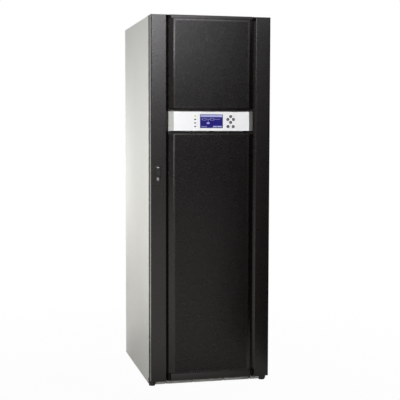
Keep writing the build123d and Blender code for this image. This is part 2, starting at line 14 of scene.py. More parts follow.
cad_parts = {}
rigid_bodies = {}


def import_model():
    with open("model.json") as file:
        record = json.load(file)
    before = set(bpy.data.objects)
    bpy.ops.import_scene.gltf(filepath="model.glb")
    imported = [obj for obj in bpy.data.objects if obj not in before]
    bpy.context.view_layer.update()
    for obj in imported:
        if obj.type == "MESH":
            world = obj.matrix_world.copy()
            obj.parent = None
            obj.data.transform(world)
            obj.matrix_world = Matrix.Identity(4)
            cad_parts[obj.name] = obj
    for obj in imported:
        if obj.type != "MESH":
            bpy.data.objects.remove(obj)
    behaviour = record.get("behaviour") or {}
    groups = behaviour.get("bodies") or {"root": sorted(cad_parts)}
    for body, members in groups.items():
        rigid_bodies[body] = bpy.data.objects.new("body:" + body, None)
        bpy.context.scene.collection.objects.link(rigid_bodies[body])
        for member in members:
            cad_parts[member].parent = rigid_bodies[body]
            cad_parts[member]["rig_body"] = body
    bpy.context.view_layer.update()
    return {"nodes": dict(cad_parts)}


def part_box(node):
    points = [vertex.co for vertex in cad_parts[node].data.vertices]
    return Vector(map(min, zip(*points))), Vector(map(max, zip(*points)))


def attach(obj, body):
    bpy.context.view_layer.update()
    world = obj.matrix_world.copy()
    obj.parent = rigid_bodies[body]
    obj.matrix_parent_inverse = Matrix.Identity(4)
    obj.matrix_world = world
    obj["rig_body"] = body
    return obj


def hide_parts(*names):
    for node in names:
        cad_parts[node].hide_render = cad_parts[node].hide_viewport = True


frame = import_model()
nodes = frame["nodes"]
MM = 0.001

# Camera, as found from the straight edges of the cabinet
CAMERA_PLACE = Vector((-1.18336, -5.15422, 1.30279))
CAMERA_YAW = 0.23232
CAMERA_PITCH = 0.07127
CAMERA_ROLL = 0.00227
CAMERA_LENS = 87.338
CAMERA_SENSOR = 36.0

# Perforated door panels
HOLE_PITCH = 10 * MM
HOLE_RADIUS = 2.85 * MM
HOLE_COLUMNS = 38
HOLE_SIDES = 8
TILE_SIDES = 4
LOWER_HOLE_ROWS = (61, 60)
UPPER_HOLE_ROWS = 43
MESH_THICK = 1.2 * MM
LIP_THICK = 0.6 * MM
LIP_LAP = 1.0 * MM
LIP_ROUND = 1.6 * MM
ROUND_STEPS = 4
PANEL_WALL = 1.2 * MM
PANEL_FOLD = 2.0 * MM
PANEL_BEVEL_WIDTH = 23 * MM
PANEL_BEVEL_DEPTH = 16 * MM
PANEL_RISE = {"lower_mesh_panel": 0.0, "upper_mesh_panel": 7 * MM}
PANEL_TOP_ROUND = {"lower_mesh_panel": 1.6 * MM, "upper_mesh_panel": 0.7 * MM}
BAR_LIFT = {"top_bar": 5.5 * MM, "bottom_bar": 0.0}
BAR_END_SLOPE = 5 * MM
BAR_ROUND = 0.5 * MM

# Rear exhaust grille
SLOT_CELL_WIDTH = 46 * MM
SLOT_CELL_HEIGHT = 15 * MM
SLOT_LENGTH = 36 * MM
SLOT_HEIGHT = 7 * MM
SLOT_ROUND_SHARE = 0.49
SLOT_COLUMNS = 11
SLOT_ROWS = 36
GRILLE_SHEET = 2 * MM
GRILLE_INSET = 0.8 * MM

# Screws and panel fasteners
SCREW_RADIUS = 4.5 * MM
SCREW_HEIGHT = 2.2 * MM
FASTENER_RADIUS = 6 * MM
FASTENER_HEIGHT = 1.0 * MM
FASTENER_HEIGHTS = [248 * MM, 713 * MM, 1190 * MM, 1671 * MM]
FASTENER_INSET = 30 * MM
SCREW_EDGE = 10 * MM
SCREW_SIDES = 12
REAR_SCREWS = {"rear_lower_panel": 5, "rear_exhaust_grille": 4, "rear_upper_panel": 3}
TOP_SCREWS = 4
SHIELD_SCREWS = 3
SOCKET_REACH = 0.5
SCREW_PROFILE = [(1.0, 0.0), (1.0, 0.35), (0.86, 0.78), (0.62, 1.0), (0.48, 1.0), (0.44, 0.35)]

# Control strip
OVERLAY_THICK = 0.3 * MM
OVERLAY_MARGIN = 1.5 * MM
OVERLAY_SIDE_MARGIN = 0.2 * MM
BEZEL_WIDTH = 1.6 * MM
MARK_THICK = 0.12 * MM
MARK_GAP = 0.05 * MM

# Rounding of folded and moulded edges
FOLD_ROUND = 1.0 * MM
FINE_ROUND = 0.4 * MM
PLATE_ROUND = 2.4 * MM
MERGE_DISTANCE = 0.01 * MM
FLAT_ANGLE = math.radians(1.0)
SHARP_ANGLE = math.radians(30.0)

# Sockets of the colour side of a mix node
COLOUR_MIX_SOCKETS = (0, 6, 7)
COLOUR_MIX_RESULT = 2


def show(name, data):
    """Put an object with a mesh, a lamp or a camera in the scene."""
    made = bpy.data.objects.new(name, data)
    bpy.context.scene.collection.objects.link(made)
    return made


def new_piece(name, mesh, body):
    """Put a finished mesh in the scene as a piece that rides on a body."""
    piece = show(name, mesh)
    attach(piece, body)
    return piece


def settle(carrier):
    """Give back the plain mesh of an object with its modifiers worked in, and remove the object."""
    bpy.context.view_layer.update()
    graph = bpy.context.evaluated_depsgraph_get()
    mesh = bpy.data.meshes.new_from_object(carrier.evaluated_get(graph))
    bpy.data.objects.remove(carrier)
    return mesh


def round_edges(mesh, radius, segments=2):
    """Round the sharp edges of a closed mesh."""
    carrier = show("carrier", mesh)
    rounding = carrier.modifiers.new("rounding", "BEVEL")
    rounding.limit_method = "ANGLE"
    rounding.angle_limit = SHARP_ANGLE
    rounding.width = radius
    rounding.segments = segments
    rounding.use_clamp_overlap = True
    return settle(carrier)


def smooth_curves(mesh):
    """Shade the curved faces smooth and keep the corners crisp."""
    mesh.shade_smooth()
    mesh.set_sharp_from_angle(angle=SHARP_ANGLE)


def mesh_of(shape, name, finish):
    """Turn mesh code into a mesh with one finish."""
    bmesh.ops.recalc_face_normals(shape, faces=shape.faces)
    mesh = bpy.data.meshes.new(name)
    shape.to_mesh(mesh)
    shape.free()
    mesh.materials.append(finish)
    return mesh


def softened(node, finish, radius, segments=2, reshape=None):
    """A copy of a solid with rounded edges, in place of that solid; reshape may move its corners."""
    shape = bmesh.new()
    shape.from_mesh(nodes[node].data)
    bmesh.ops.remove_doubles(shape, verts=shape.verts, dist=MERGE_DISTANCE)
    bmesh.ops.dissolve_limit(shape, angle_limit=FLAT_ANGLE, verts=shape.verts, edges=shape.edges)
    if reshape:
        for corner in shape.verts:
            reshape(corner.co)
    mesh = round_edges(mesh_of(shape, node, finish), radius, segments)
    smooth_curves(mesh)
    piece = new_piece(node + "_rounded", mesh, nodes[node]["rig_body"])
    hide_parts(node)


def loft_rings(rings, name, finish):
    """A closed frame through upright rectangles (x0, x1, z0, z1, y), the last joined to the first."""
    shape = bmesh.new()
    loops = []
    for x0, x1, z0, z1, y in rings:
        corners = ((x0, z0), (x1, z0), (x1, z1), (x0, z1))
        loops.append([shape.verts.new((x, y, z)) for x, z in corners])
    for first, second in zip(loops, loops[1:] + loops[:1]):
        for i in range(4):
            j = (i + 1) % 4
            shape.faces.new((first[i], first[j], second[j], second[i]))
    return mesh_of(shape, name, finish)


def stack_rings(shape, rings):
    """Add a solid closed over a stack of equal rings of points."""
    loops = [[shape.verts.new(point) for point in ring] for ring in rings]
    count = len(loops[0])
    for first, second in zip(loops, loops[1:]):
        for i in range(count):
            j = (i + 1) % count
            shape.faces.new((first[i], first[j], second[j], second[i]))
    shape.faces.new(loops[-1])
    shape.faces.new(loops[0][::-1])


def circle(sides):
    """Points (u, v) round a circle of radius one."""
    turns = [2 * math.pi * i / sides for i in range(sides)]
    return [(math.cos(turn), math.sin(turn)) for turn in turns]


def add_prism(shape, outline, y_back, y_front):
    """Add a flat shape, drawn as (x, z) points, between two upright planes."""
    stack_rings(shape, [[(x, y, z) for x, z in outline] for y in (y_back, y_front)])


def add_block(shape, x0, x1, z0, z1, y_back, y_front):
    """Add an upright block."""
    add_prism(shape, [(x0, z0), (x1, z0), (x1, z1), (x0, z1)], y_back, y_front)


def start_tree(name, kind, inputs, outputs):
    """Start a node group with named sockets; give back it, its inputs by name and its end node."""
    tree = bpy.data.node_groups.new(name, kind)
    for side, sockets in (("INPUT", inputs), ("OUTPUT", outputs)):
        for label, sort in sockets.items():
            tree.interface.new_socket(label, in_out=side, socket_type="NodeSocket" + sort)
    given = tree.nodes.new("NodeGroupInput").outputs
    return tree, given, tree.nodes.new("NodeGroupOutput")


def feed(tree, socket, value):
    """Link a socket to another or to a node's first output, or set it to a plain value."""
    if isinstance(value, bpy.types.Node):
        value = value.outputs[0]
    if isinstance(value, bpy.types.NodeSocket):
        tree.links.new(value, socket)
    else:
        socket.default_value = value


def fill(tree, made, **inputs):
    """Feed a node's inputs by name."""
    for label, value in inputs.items():
        feed(tree, made.inputs[label.replace("_", " ")], value)


def add(tree, kind, settings=None, **inputs):
    """Add a node with its own settings, and feed its inputs by name."""
    made = tree.nodes.new(kind)
    for label, value in (settings or {}).items():
        setattr(made, label, value)
    fill(tree, made, **inputs)
    return made


def combine(tree, kind, settings, *values):
    """Add a node that takes its inputs in order; give back what it puts out."""
    made = add(tree, kind, settings)
    for socket, value in zip(made.inputs, values):
        feed(tree, socket, value)
    return made.outputs[0]


def calculate(tree, operation, first, second=0.0, clamp=False):
    """One step of arithmetic in a node tree."""
    settings = {"operation": operation, "use_clamp": clamp}
    return combine(tree, "ShaderNodeMath", settings, first, second)


def decide(tree, operation, *terms):
    """One logical step in a node tree."""
    return combine(tree, "FunctionNodeBooleanMath", {"operation": operation}, *terms)


def mix_colours(tree, factor, first, second, blend="MIX"):
    """Mix two colours in a node tree."""
    made = add(tree, "ShaderNodeMix", {"data_type": "RGBA", "blend_type": blend})
    for place, value in zip(COLOUR_MIX_SOCKETS, (factor, first, second)):
        feed(tree, made.inputs[place], value)
    return made.outputs[COLOUR_MIX_RESULT]


def join(tree, *parts):
    """Join pieces of geometry."""
    made = tree.nodes.new("GeometryNodeJoinGeometry")
    for part in parts:
        feed(tree, made.inputs[0], part)
    return made


def ranged(tree, value, low, high, to_low=0.0, to_high=1.0):
    """Carry a value from one range into another and hold it at the ends."""
    made = add(tree, "ShaderNodeMapRange", Value=value, From_Min=low, From_Max=high)
    fill(tree, made, To_Min=to_low, To_Max=to_high)
    return made.outputs[0]


def weld(tree, geometry):
    """Join the corners that meet."""
    return add(tree, "GeometryNodeMergeByDistance", Geometry=geometry, Distance=MERGE_DISTANCE)


def set_out(tree, points, tile, **chosen):
    """Set a copy of a tile on every point, or on the chosen ones."""
    return add(tree, "GeometryNodeInstanceOnPoints", Points=points, Instance=tile, **chosen)


def paint_result(tree, given, geometry, result):
    """Give finished geometry its finish and put it out."""
    painted = add(tree, "GeometryNodeSetMaterial", Geometry=geometry, Material=given["Finish"])
    fill(tree, result, Geometry=painted)


def thicken_and_place(tree, given, sheet, turn, result):
    """Weld flat tiles, give the sheet its thickness, stand it up in its place and paint it."""
    flat = weld(tree, add(tree, "GeometryNodeRealizeInstances", Geometry=sheet))
    raised = add(
        tree, "GeometryNodeExtrudeMesh", Mesh=flat, Offset_Scale=given["Thickness"], Individual=False
    )
    underside = add(tree, "GeometryNodeFlipFaces", Mesh=flat)
    closed = weld(tree, join(tree, raised, underside))
    centre = given["Field Centre"]
    placed = add(tree, "GeometryNodeTransform", Geometry=closed, Translation=centre, Rotation=turn)
    paint_result(tree, given, placed, result)


SHEET_INPUTS = {
    "Columns": "Int",
    "Rows": "Int",
    "Thickness": "Float",
    "Field Centre": "Vector",
    "Finish": "Material",
}
GEOMETRY_OUT = {"Geometry": "Geometry"}
SURFACE_OUT = {"Color": "Color", "Roughness": "Float", "Height": "Float"}


def build_perforated_sheet():
    """Tree for a sheet of round holes in staggered rows, with blank tiles along closed edges."""
    inputs = {"Pitch": "Float", "Hole Radius": "Float", "Closed Below": "Bool", "Closed Above": "Bool"}
    tree, given, result = start_tree(
        "perforated_sheet", "GeometryNodeTree", {**SHEET_INPUTS, **inputs}, GEOMETRY_OUT
    )
    pitch = given["Pitch"]
    columns = given["Columns"]
    rows = given["Rows"]
    half_pitch = calculate(tree, "MULTIPLY", pitch, 0.5)
    circle_kind = "GeometryNodeCurvePrimitiveCircle"
    outline = add(tree, circle_kind, Resolution=TILE_SIDES, Radius=half_pitch)
    hole = add(tree, circle_kind, Resolution=HOLE_SIDES, Radius=given["Hole Radius"])
    holed_tile = add(tree, "GeometryNodeFillCurve", Curve=join(tree, outline, hole))
    blank_tile = add(tree, "GeometryNodeFillCurve", Curve=outline)

    field_width = calculate(tree, "MULTIPLY", columns, pitch)
    field_height = calculate(tree, "MULTIPLY", rows, pitch)
    main_points = add(
        tree,
        "GeometryNodeMeshGrid",
        Size_X=calculate(tree, "SUBTRACT", field_width, pitch),
        Size_Y=calculate(tree, "SUBTRACT", field_height, pitch),
        Vertices_X=columns,
        Vertices_Y=rows,
    )
    between_points = add(
        tree,
        "GeometryNodeMeshGrid",
        Size_X=field_width,
        Size_Y=field_height,
        Vertices_X=calculate(tree, "ADD", columns, 1),
        Vertices_Y=calculate(tree, "ADD", rows, 1),
    )

    position = tree.nodes.new("GeometryNodeInputPosition")
    place = add(tree, "ShaderNodeSeparateXYZ", Vector=position).outputs
    inner_width = calculate(tree, "SUBTRACT", field_width, half_pitch)
    inner_height = calculate(tree, "SUBTRACT", field_height, half_pitch)
    side_line = calculate(tree, "MULTIPLY", inner_width, 0.5)
    top_line = calculate(tree, "MULTIPLY", inner_height, 0.5)
    bottom_line = calculate(tree, "MULTIPLY", top_line, -1.0)
    aside = calculate(tree, "ABSOLUTE", place["X"])
    at_side = calculate(tree, "GREATER_THAN", aside, side_line)
    at_top = calculate(tree, "GREATER_THAN", place["Y"], top_line)
    at_bottom = calculate(tree, "LESS_THAN", place["Y"], bottom_line)
    blank_top = decide(tree, "AND", at_top, given["Closed Above"])
    blank_bottom = decide(tree, "AND", at_bottom, given["Closed Below"])
    blank = decide(tree, "OR", at_side, decide(tree, "OR", blank_top, blank_bottom))
    open_below = decide(tree, "NOT", given["Closed Below"])
    kept = decide(tree, "NOT", decide(tree, "AND", at_bottom, open_below))

    kept_blank = decide(tree, "AND", kept, blank)
    kept_holed = decide(tree, "AND", kept, decide(tree, "NOT", blank))
    main_holes = set_out(tree, main_points, holed_tile)
    between_holes = set_out(tree, between_points, holed_tile, Selection=kept_holed)
    blanks = set_out(tree, between_points, blank_tile, Selection=kept_blank)
    sheet = join(tree, main_holes, between_holes, blanks)
    thicken_and_place(tree, given, sheet, (math.pi / 2, 0.0, 0.0), result)
    return tree


def build_slotted_grille():
    """Tree for a sheet of long rounded slots in straight columns, facing the rear."""
    sizes = ("Cell Width", "Cell Height", "Slot Length", "Slot Height")
    inputs = {**SHEET_INPUTS, **{label: "Float" for label in sizes}}
    tree, given, result = start_tree("slotted_grille", "GeometryNodeTree", inputs, GEOMETRY_OUT)
    cell_width, cell_height, slot_length, slot_height = [given[label] for label in sizes]
    columns = given["Columns"]
    rows = given["Rows"]
    box_kind = "GeometryNodeCurvePrimitiveQuadrilateral"
    outline = add(tree, box_kind, Width=cell_width, Height=cell_height)
    rounded_slot = add(
        tree,
        "GeometryNodeFilletCurve",
        settings={"mode": "POLY"},
        Curve=add(tree, box_kind, Width=slot_length, Height=slot_height),
        Count=ROUND_STEPS,
        Radius=calculate(tree, "MULTIPLY", slot_height, SLOT_ROUND_SHARE),
    )
    tile = add(tree, "GeometryNodeFillCurve", Curve=join(tree, outline, rounded_slot))
    points = add(
        tree,
        "GeometryNodeMeshGrid",
        Size_X=calculate(tree, "MULTIPLY", calculate(tree, "SUBTRACT", columns, 1), cell_width),
        Size_Y=calculate(tree, "MULTIPLY", calculate(tree, "SUBTRACT", rows, 1), cell_height),
        Vertices_X=columns,
        Vertices_Y=rows,
    )
    tiles = set_out(tree, points, tile)
    thicken_and_place(tree, given, tiles, (math.pi / 2, 0.0, math.pi), result)
    return tree


def build_screw_rows():
    """Tree that sets one screw head on every point, all facing one way."""
    inputs = {"Geometry": "Geometry", "Head": "Object", "Facing": "Vector", "Finish": "Material"}
    tree, given, result = start_tree("screw_rows", "GeometryNodeTree", inputs, GEOMETRY_OUT)
    head = add(tree, "GeometryNodeObjectInfo", Object=given["Head"]).outputs["Geometry"]
    turn_kind = "FunctionNodeAlignRotationToVector"
    turn = add(tree, turn_kind, settings={"axis": "Z"}, Vector=given["Facing"])
    heads = set_out(tree, given["Geometry"], head, Rotation=turn)
    whole = add(tree, "GeometryNodeRealizeInstances", Geometry=heads)
    paint_result(tree, given, whole, result)
    return tree


def grow(name, tree, points=None, **values):
    """Run a geometry tree on an object with the values of its named inputs; give back the mesh."""
    mesh = bpy.data.meshes.new(name)
    if points:
        mesh.from_pydata(points, [], [])
    carrier = show(name, mesh)
    modifier = carrier.modifiers.new("grown", "NODES")
    modifier.node_group = tree
    for item in tree.interface.items_tree:
        label = item.name.replace(" ", "_")
        if item.in_out == "INPUT" and label in values:
            modifier[item.identifier] = values[label]
    return settle(carrier)


# Patterns of the surfaces; a noise has its scale per metre, detail and roughness
NOISE_LOW = 0.3
NOISE_HIGH = 0.7
GRAIN_DETAIL = (2.0, 0.6)
GRAIN_SHARE = 0.35
CLOUD_NOISE = (3.1, 4.0, 0.55)
CLOUD_SHARE = 0.65
HANDLED_NOISE = (26.0, 3.0, 0.6)
DUST_NOISE = (60.0, 5.0, 0.7)
DUST_SLOPE = 0.6
DUST_HEIGHT = 0.16
LOW_DUST = 0.5
DUST_COLOUR = (0.36, 0.35, 0.32, 1.0)
DRAWN_NOISE = (160.0, 3.0, 0.6)
DRAWN_STRETCH = (1.0, 1.0, 14.0)
SCREEN_NOISE = (22.0, 2.0, 0.5)
SCREEN_RASTER = 1500.0
RASTER_DIM = 0.85
SCREEN_GLOW = 0.75
SCREEN_SPECULAR = 0.2
SCREEN_ROUGHNESS = 0.18
LAMP_RASTER = 900.0
LAMP_GLOW = 0.6
PAINT_GRAIN_DEPTH = 0.3 * MM
METAL_GRAIN_DEPTH = 0.1 * MM
GLOSS_INPUTS = {"Gloss Low": "Float", "Gloss High": "Float"}


def object_spot(tree):
    """The place on the object, to lay a pattern on."""
    return tree.nodes.new("ShaderNodeTexCoord").outputs["Object"]


def noise(tree, spot, scale, detail, roughness):
    """A noise pattern."""
    made = add(tree, "ShaderNodeTexNoise", Vector=spot, Scale=scale, Detail=detail)
    fill(tree, made, Roughness=roughness)
    return made.outputs[0]


def uneven_gloss(tree, given, pattern):
    """Roughness that follows a pattern between two values."""
    return ranged(tree, pattern, NOISE_LOW, NOISE_HIGH, given["Gloss Low"], given["Gloss High"])


def build_fine_grain():
    """Shader group: the grain, faint cloudiness and uneven gloss of paint and moulded plastic."""
    inputs = {"Tint": "Color", "Shade": "Color", "Grain Scale": "Float", **GLOSS_INPUTS}
    tree, given, result = start_tree("fine_grain", "ShaderNodeTree", inputs, SURFACE_OUT)
    spot = object_spot(tree)
    grain = noise(tree, spot, given["Grain Scale"], *GRAIN_DETAIL)
    cloud = noise(tree, spot, *CLOUD_NOISE)
    handled = noise(tree, spot, *HANDLED_NOISE)
    spread = ranged(tree, cloud, NOISE_LOW, NOISE_HIGH)
    speckle = calculate(tree, "MULTIPLY", grain, GRAIN_SHARE)
    blend = calculate(tree, "ADD", calculate(tree, "MULTIPLY", spread, CLOUD_SHARE), speckle)
    colour = mix_colours(tree, blend, given["Tint"], given["Shade"])
    gloss = uneven_gloss(tree, given, handled)
    fill(tree, result, Color=colour, Roughness=gloss, Height=grain)
    return tree


def build_settled_dust():
    """Shader group: a thin film of dust on faces that look upwards and low on the cabinet."""
    inputs = {"Color": "Color", "Dust": "Color", "Amount": "Float"}
    tree, given, result = start_tree("settled_dust", "ShaderNodeTree", inputs, {"Color": "Color"})
    normal = tree.nodes.new("ShaderNodeNewGeometry").outputs["Normal"]
    spot = object_spot(tree)
    facing = add(tree, "ShaderNodeSeparateXYZ", Vector=normal).outputs["Z"]
    height = add(tree, "ShaderNodeSeparateXYZ", Vector=spot).outputs["Z"]
    upward = ranged(tree, facing, DUST_SLOPE, 1.0)
    low = ranged(tree, height, DUST_HEIGHT, 0.0, 0.0, LOW_DUST)
    film = noise(tree, spot, *DUST_NOISE)
    reach = calculate(tree, "ADD", upward, low, clamp=True)
    cover = calculate(tree, "MULTIPLY", reach, film)
    share = calculate(tree, "MULTIPLY", cover, given["Amount"], clamp=True)
    fill(tree, result, Color=mix_colours(tree, share, given["Color"], given["Dust"]))
    return tree


def build_cloudy_metal():
    """Shader group: crystal flakes and fine drawn lines of bare and plated metal."""
    inputs = {"Bright": "Color", "Dull": "Color", "Flake Scale": "Float", **GLOSS_INPUTS}
    tree, given, result = start_tree("cloudy_metal", "ShaderNodeTree", inputs, SURFACE_OUT)
    spot = object_spot(tree)
    flakes = add(tree, "ShaderNodeTexVoronoi", Vector=spot, Scale=given["Flake Scale"])
    shade = add(tree, "ShaderNodeSeparateColor", Color=flakes.outputs["Color"]).outputs[0]
    stretched = add(tree, "ShaderNodeMapping", Vector=spot, Scale=DRAWN_STRETCH).outputs[0]
    drawn = noise(tree, stretched, *DRAWN_NOISE)
    colour = mix_colours(tree, shade, given["Bright"], given["Dull"])
    gloss = uneven_gloss(tree, given, drawn)
    fill(tree, result, Color=colour, Roughness=gloss, Height=drawn)
    return tree


FINE_GRAIN = build_fine_grain()
SETTLED_DUST = build_settled_dust()
CLOUDY_METAL = build_cloudy_metal()


def start_material(name):
    """An empty node material; give back it, its tree and its surface shader."""
    material = bpy.data.materials.new(name)
    material.use_nodes = True
    tree = material.node_tree
    return material, tree, tree.nodes["Principled BSDF"]


def patterned(name, group, relief, depth, gloss, **inputs):
    """A material with the colour, uneven gloss and fine relief of a shader group."""
    material, tree, shader = start_material(name)
    made = add(tree, "ShaderNodeGroup", {"node_tree": group}, **inputs)
    fill(tree, made, Gloss_Low=gloss[0], Gloss_High=gloss[1])
    pattern = made.outputs
    height = pattern["Height"]
    bump = add(tree, "ShaderNodeBump", Strength=relief, Distance=depth, Height=height)
    fill(tree, shader, Roughness=pattern["Roughness"], Normal=bump)
    return material, tree, shader, pattern["Color"]


def coated(name, tint, shade, grain, gloss, specular, relief, dust=0.0):
    """Paint or moulded plastic with its grain, cloudiness and a little dust."""
    material, tree, shader, colour = patterned(
        name,
        FINE_GRAIN,
        relief,
        PAINT_GRAIN_DEPTH,
        gloss,
        Tint=(*tint, 1.0),
        Shade=(*shade, 1.0),
        Grain_Scale=grain,
    )
    if dust:
        film = {"node_tree": SETTLED_DUST}
        colour = add(tree, "ShaderNodeGroup", film, Color=colour, Dust=DUST_COLOUR, Amount=dust)
    fill(tree, shader, Base_Color=colour, Specular_IOR_Level=specular)
    return material


def plated(name, bright, dull, flake, gloss, relief):
    """Bare or plated metal."""
    material, tree, shader, colour = patterned(
        name,
        CLOUDY_METAL,
        relief,
        METAL_GRAIN_DEPTH,
        gloss,
        Bright=(*bright, 1.0),
        Dull=(*dull, 1.0),
        Flake_Scale=flake,
    )
    fill(tree, shader, Base_Color=colour, Metallic=1.0)
    return material


def glowing(name, tint, shade, strength, raster):
    """A lit display surface with the fine raster of its dots."""
    material, tree, shader = start_material(name)
    spot = object_spot(tree)
    cloud = noise(tree, spot, *SCREEN_NOISE)
    dots = add(tree, "ShaderNodeTexVoronoi", Vector=spot, Scale=raster, Randomness=0.0)
    lit = mix_colours(tree, cloud, (*tint, 1.0), (*shade, 1.0))
    grid = ranged(tree, dots, 0.0, 1.0, 1.0, RASTER_DIM)
    picture = mix_colours(tree, 1.0, lit, grid, "MULTIPLY")
    fill(tree, shader, Emission_Color=picture, Base_Color=picture, Emission_Strength=strength)
    fill(tree, shader, Specular_IOR_Level=SCREEN_SPECULAR, Roughness=SCREEN_ROUGHNESS)
    return material


def grey(level):
    """A neutral colour."""
    return (level, level, level)


# Paints and plastics: tint, shade, grain per metre, gloss range, specular, relief, dust
DOOR_TINT = (0.0056, 0.0043, 0.0037)
DOOR_SHADE = (0.0045, 0.0034, 0.0029)
PANEL_PAINT = coated(
    "panel_paint", (0.625, 0.625, 0.59), (0.59, 0.59, 0.557), 620.0, (0.36, 0.44), 0.4, 0.06, 0.12
)
DOOR_PAINT = coated("door_paint", DOOR_TINT, DOOR_SHADE, 900.0, (0.265, 0.285), 0.5, 0.03)
BAR_PAINT = coated("bar_paint", DOOR_TINT, DOOR_SHADE, 900.0, (0.41, 0.45), 0.5, 0.03)
FRAME_PAINT = coated(
    "frame_paint", (0.12, 0.12, 0.115), (0.10, 0.10, 0.096), 620.0, (0.42, 0.52), 0.4, 0.06, 0.1
)
SKIRT_PAINT = coated(
    "skirt_paint", (0.40, 0.40, 0.38), (0.37, 0.37, 0.352), 620.0, (0.4, 0.5), 0.4, 0.06, 0.15
)
FOOT_PLASTIC = coated("foot_plastic", grey(0.012), grey(0.009), 1100.0, (0.5, 0.62), 0.3, 0.15, 0.2)
EQUIPMENT_PAINT = coated("equipment_paint", grey(0.03), grey(0.024), 700.0, (0.45, 0.55), 0.35, 0.08)
HOUSING_PLASTIC = coated(
    "housing_plastic", (0.03, 0.03, 0.031), (0.025, 0.025, 0.026), 1100.0, (0.45, 0.55), 0.4, 0.12
)
STRIP_MOULDING = coated(
    "strip_moulding", (0.38, 0.38, 0.365), (0.355, 0.355, 0.34), 1000.0, (0.35, 0.42), 0.4, 0.05
)
STRIP_OVERLAY = coated(
    "strip_overlay", (0.86, 0.863, 0.87), (0.83, 0.833, 0.84), 1400.0, (0.3, 0.38), 0.4, 0.03
)
SEAL_RUBBER = coated("seal_rubber", grey(0.005), grey(0.004), 800.0, (0.7, 0.8), 0.15, 0.1)
CAP_GLOSS = coated("cap_gloss", grey(0.008), grey(0.007), 1500.0, (0.10, 0.14), 0.5, 0.01)
LATCH_PLASTIC = coated("latch_plastic", grey(0.010), grey(0.008), 1200.0, (0.3, 0.38), 0.35, 0.08)
KEY_PLASTIC = coated(
    "key_plastic", (0.040, 0.041, 0.044), (0.033, 0.034, 0.036), 1500.0, (0.35, 0.45), 0.4, 0.05
)
KEY_MARK = coated("key_mark", (0.30, 0.305, 0.32), (0.27, 0.275, 0.29), 1500.0, (0.4, 0.5), 0.3, 0.03)
BEZEL_PLASTIC = coated(
    "bezel_plastic", (0.20, 0.205, 0.24), (0.18, 0.185, 0.215), 1500.0, (0.3, 0.4), 0.4, 0.04
)
LAMP_DARK = coated(
    "lamp_dark", (0.035, 0.037, 0.035), (0.028, 0.030, 0.028), 900.0, (0.2, 0.28), 0.5, 0.02
)
FILTER_FOAM = coated("filter_foam", grey(0.006), grey(0.003), 520.0, (0.85, 0.95), 0.1, 0.9)

# Metals: bright, dull, flakes per metre, gloss range, relief
SHIELD_ZINC = plated(
    "shield_zinc_plate", (0.50, 0.51, 0.52), (0.41, 0.42, 0.43), 70.0, (0.5, 0.62), 0.05
)
HINGE_STEEL = plated(
    "hinge_steel_plate", (0.55, 0.54, 0.52), (0.46, 0.455, 0.44), 240.0, (0.3, 0.42), 0.08
)
LOCK_STEEL = plated("lock_steel", (0.33, 0.33, 0.32), (0.27, 0.27, 0.26), 400.0, (0.3, 0.4), 0.03)
FASTENER_STEEL = plated(
    "fastener_steel", (0.50, 0.50, 0.48), (0.42, 0.42, 0.40), 300.0, (0.32, 0.45), 0.06
)

# Lit surfaces: tint, shade, glow, dots per metre
SCREEN_BLUE = glowing(
    "screen_blue", (0.009, 0.008, 0.095), (0.013, 0.011, 0.12), SCREEN_GLOW, SCREEN_RASTER
)
SCREEN_PALE = glowing("screen_pale", (0.30, 0.31, 0.48), (0.26, 0.27, 0.43), SCREEN_GLOW, SCREEN_RASTER)
LAMP_LIT = glowing("lamp_lit", (0.40, 0.44, 0.10), (0.35, 0.40, 0.08), LAMP_GLOW, LAMP_RASTER)

# Finishes of the solids that stay as they are
PLAIN_SOLIDS = [
    (FRAME_PAINT, ("base_side_rails", "base_cross_rails", "front_posts", "rear_posts")),
    (FRAME_PAINT, ("top_side_beams", "top_cross_beams")),
    (EQUIPMENT_PAINT, ("equipment_block",)),
    (HINGE_STEEL, ("hinge_arms", "hinge_leaves", "latch_spindle")),
    (DOOR_PAINT, ("left_stile", "right_stile", "door_uprights", "door_crossbars")),
    (FILTER_FOAM, ("lower_filter", "upper_filter")),
    (HOUSING_PLASTIC, ("control_housing",)),
    (SCREEN_BLUE, ("display_window",)),
    (LATCH_PLASTIC, ("latch_lever",)),
    (FOOT_PLASTIC, ("corner_feet",)),
]
for plain_finish, plain_nodes in PLAIN_SOLIDS:
    for node_name in plain_nodes:
        for material_slot in nodes[node_name].material_slots:
            material_slot.material = plain_finish

# Sheet metal and mouldings with rounded edges
SIDE_AND_TOP_PANELS = ("left_side_panel", "right_side_panel", "top_panel")
REAR_PANELS = ("rear_lower_panel", "rear_upper_panel")
SHIELDS = ("lower_shield", "middle_shield", "upper_shield")
for panel in SIDE_AND_TOP_PANELS + REAR_PANELS:
    softened(panel, PANEL_PAINT, FOLD_ROUND)
for panel in ("front_skirt", "rear_skirt"):
    softened(panel, SKIRT_PAINT, FINE_ROUND)
for panel in SHIELDS:
    softened(panel, SHIELD_ZINC, FINE_ROUND)


def shaped_bar(node):
    """A bar of the door with sloped ends, its lower edge lifted to make room for the panel's lip."""
    low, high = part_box(node)
    middle = (low + high) / 2

    def reshape(corner):
        """Draw in the front corners and lift the lower ones."""
        if corner.y < middle.y:
            corner.x -= math.copysign(BAR_END_SLOPE, corner.x)
        if corner.z < middle.z:
            corner.z += BAR_LIFT[node]

    softened(node, BAR_PAINT, BAR_ROUND, segments=3, reshape=reshape)


for bar in BAR_LIFT:
    shaped_bar(bar)
softened("control_fascia", STRIP_MOULDING, FINE_ROUND)
softened("latch_plate", LATCH_PLASTIC, PLATE_ROUND, segments=4)

PERFORATED_SHEET = build_perforated_sheet()
SLOTTED_GRILLE = build_slotted_grille()
SCREW_ROWS = build_screw_rows()


def panel_middle(node):
    """The height of the middle of a raised door panel."""
    low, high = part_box(node)
    return (low.z + high.z + PANEL_RISE[node]) / 2


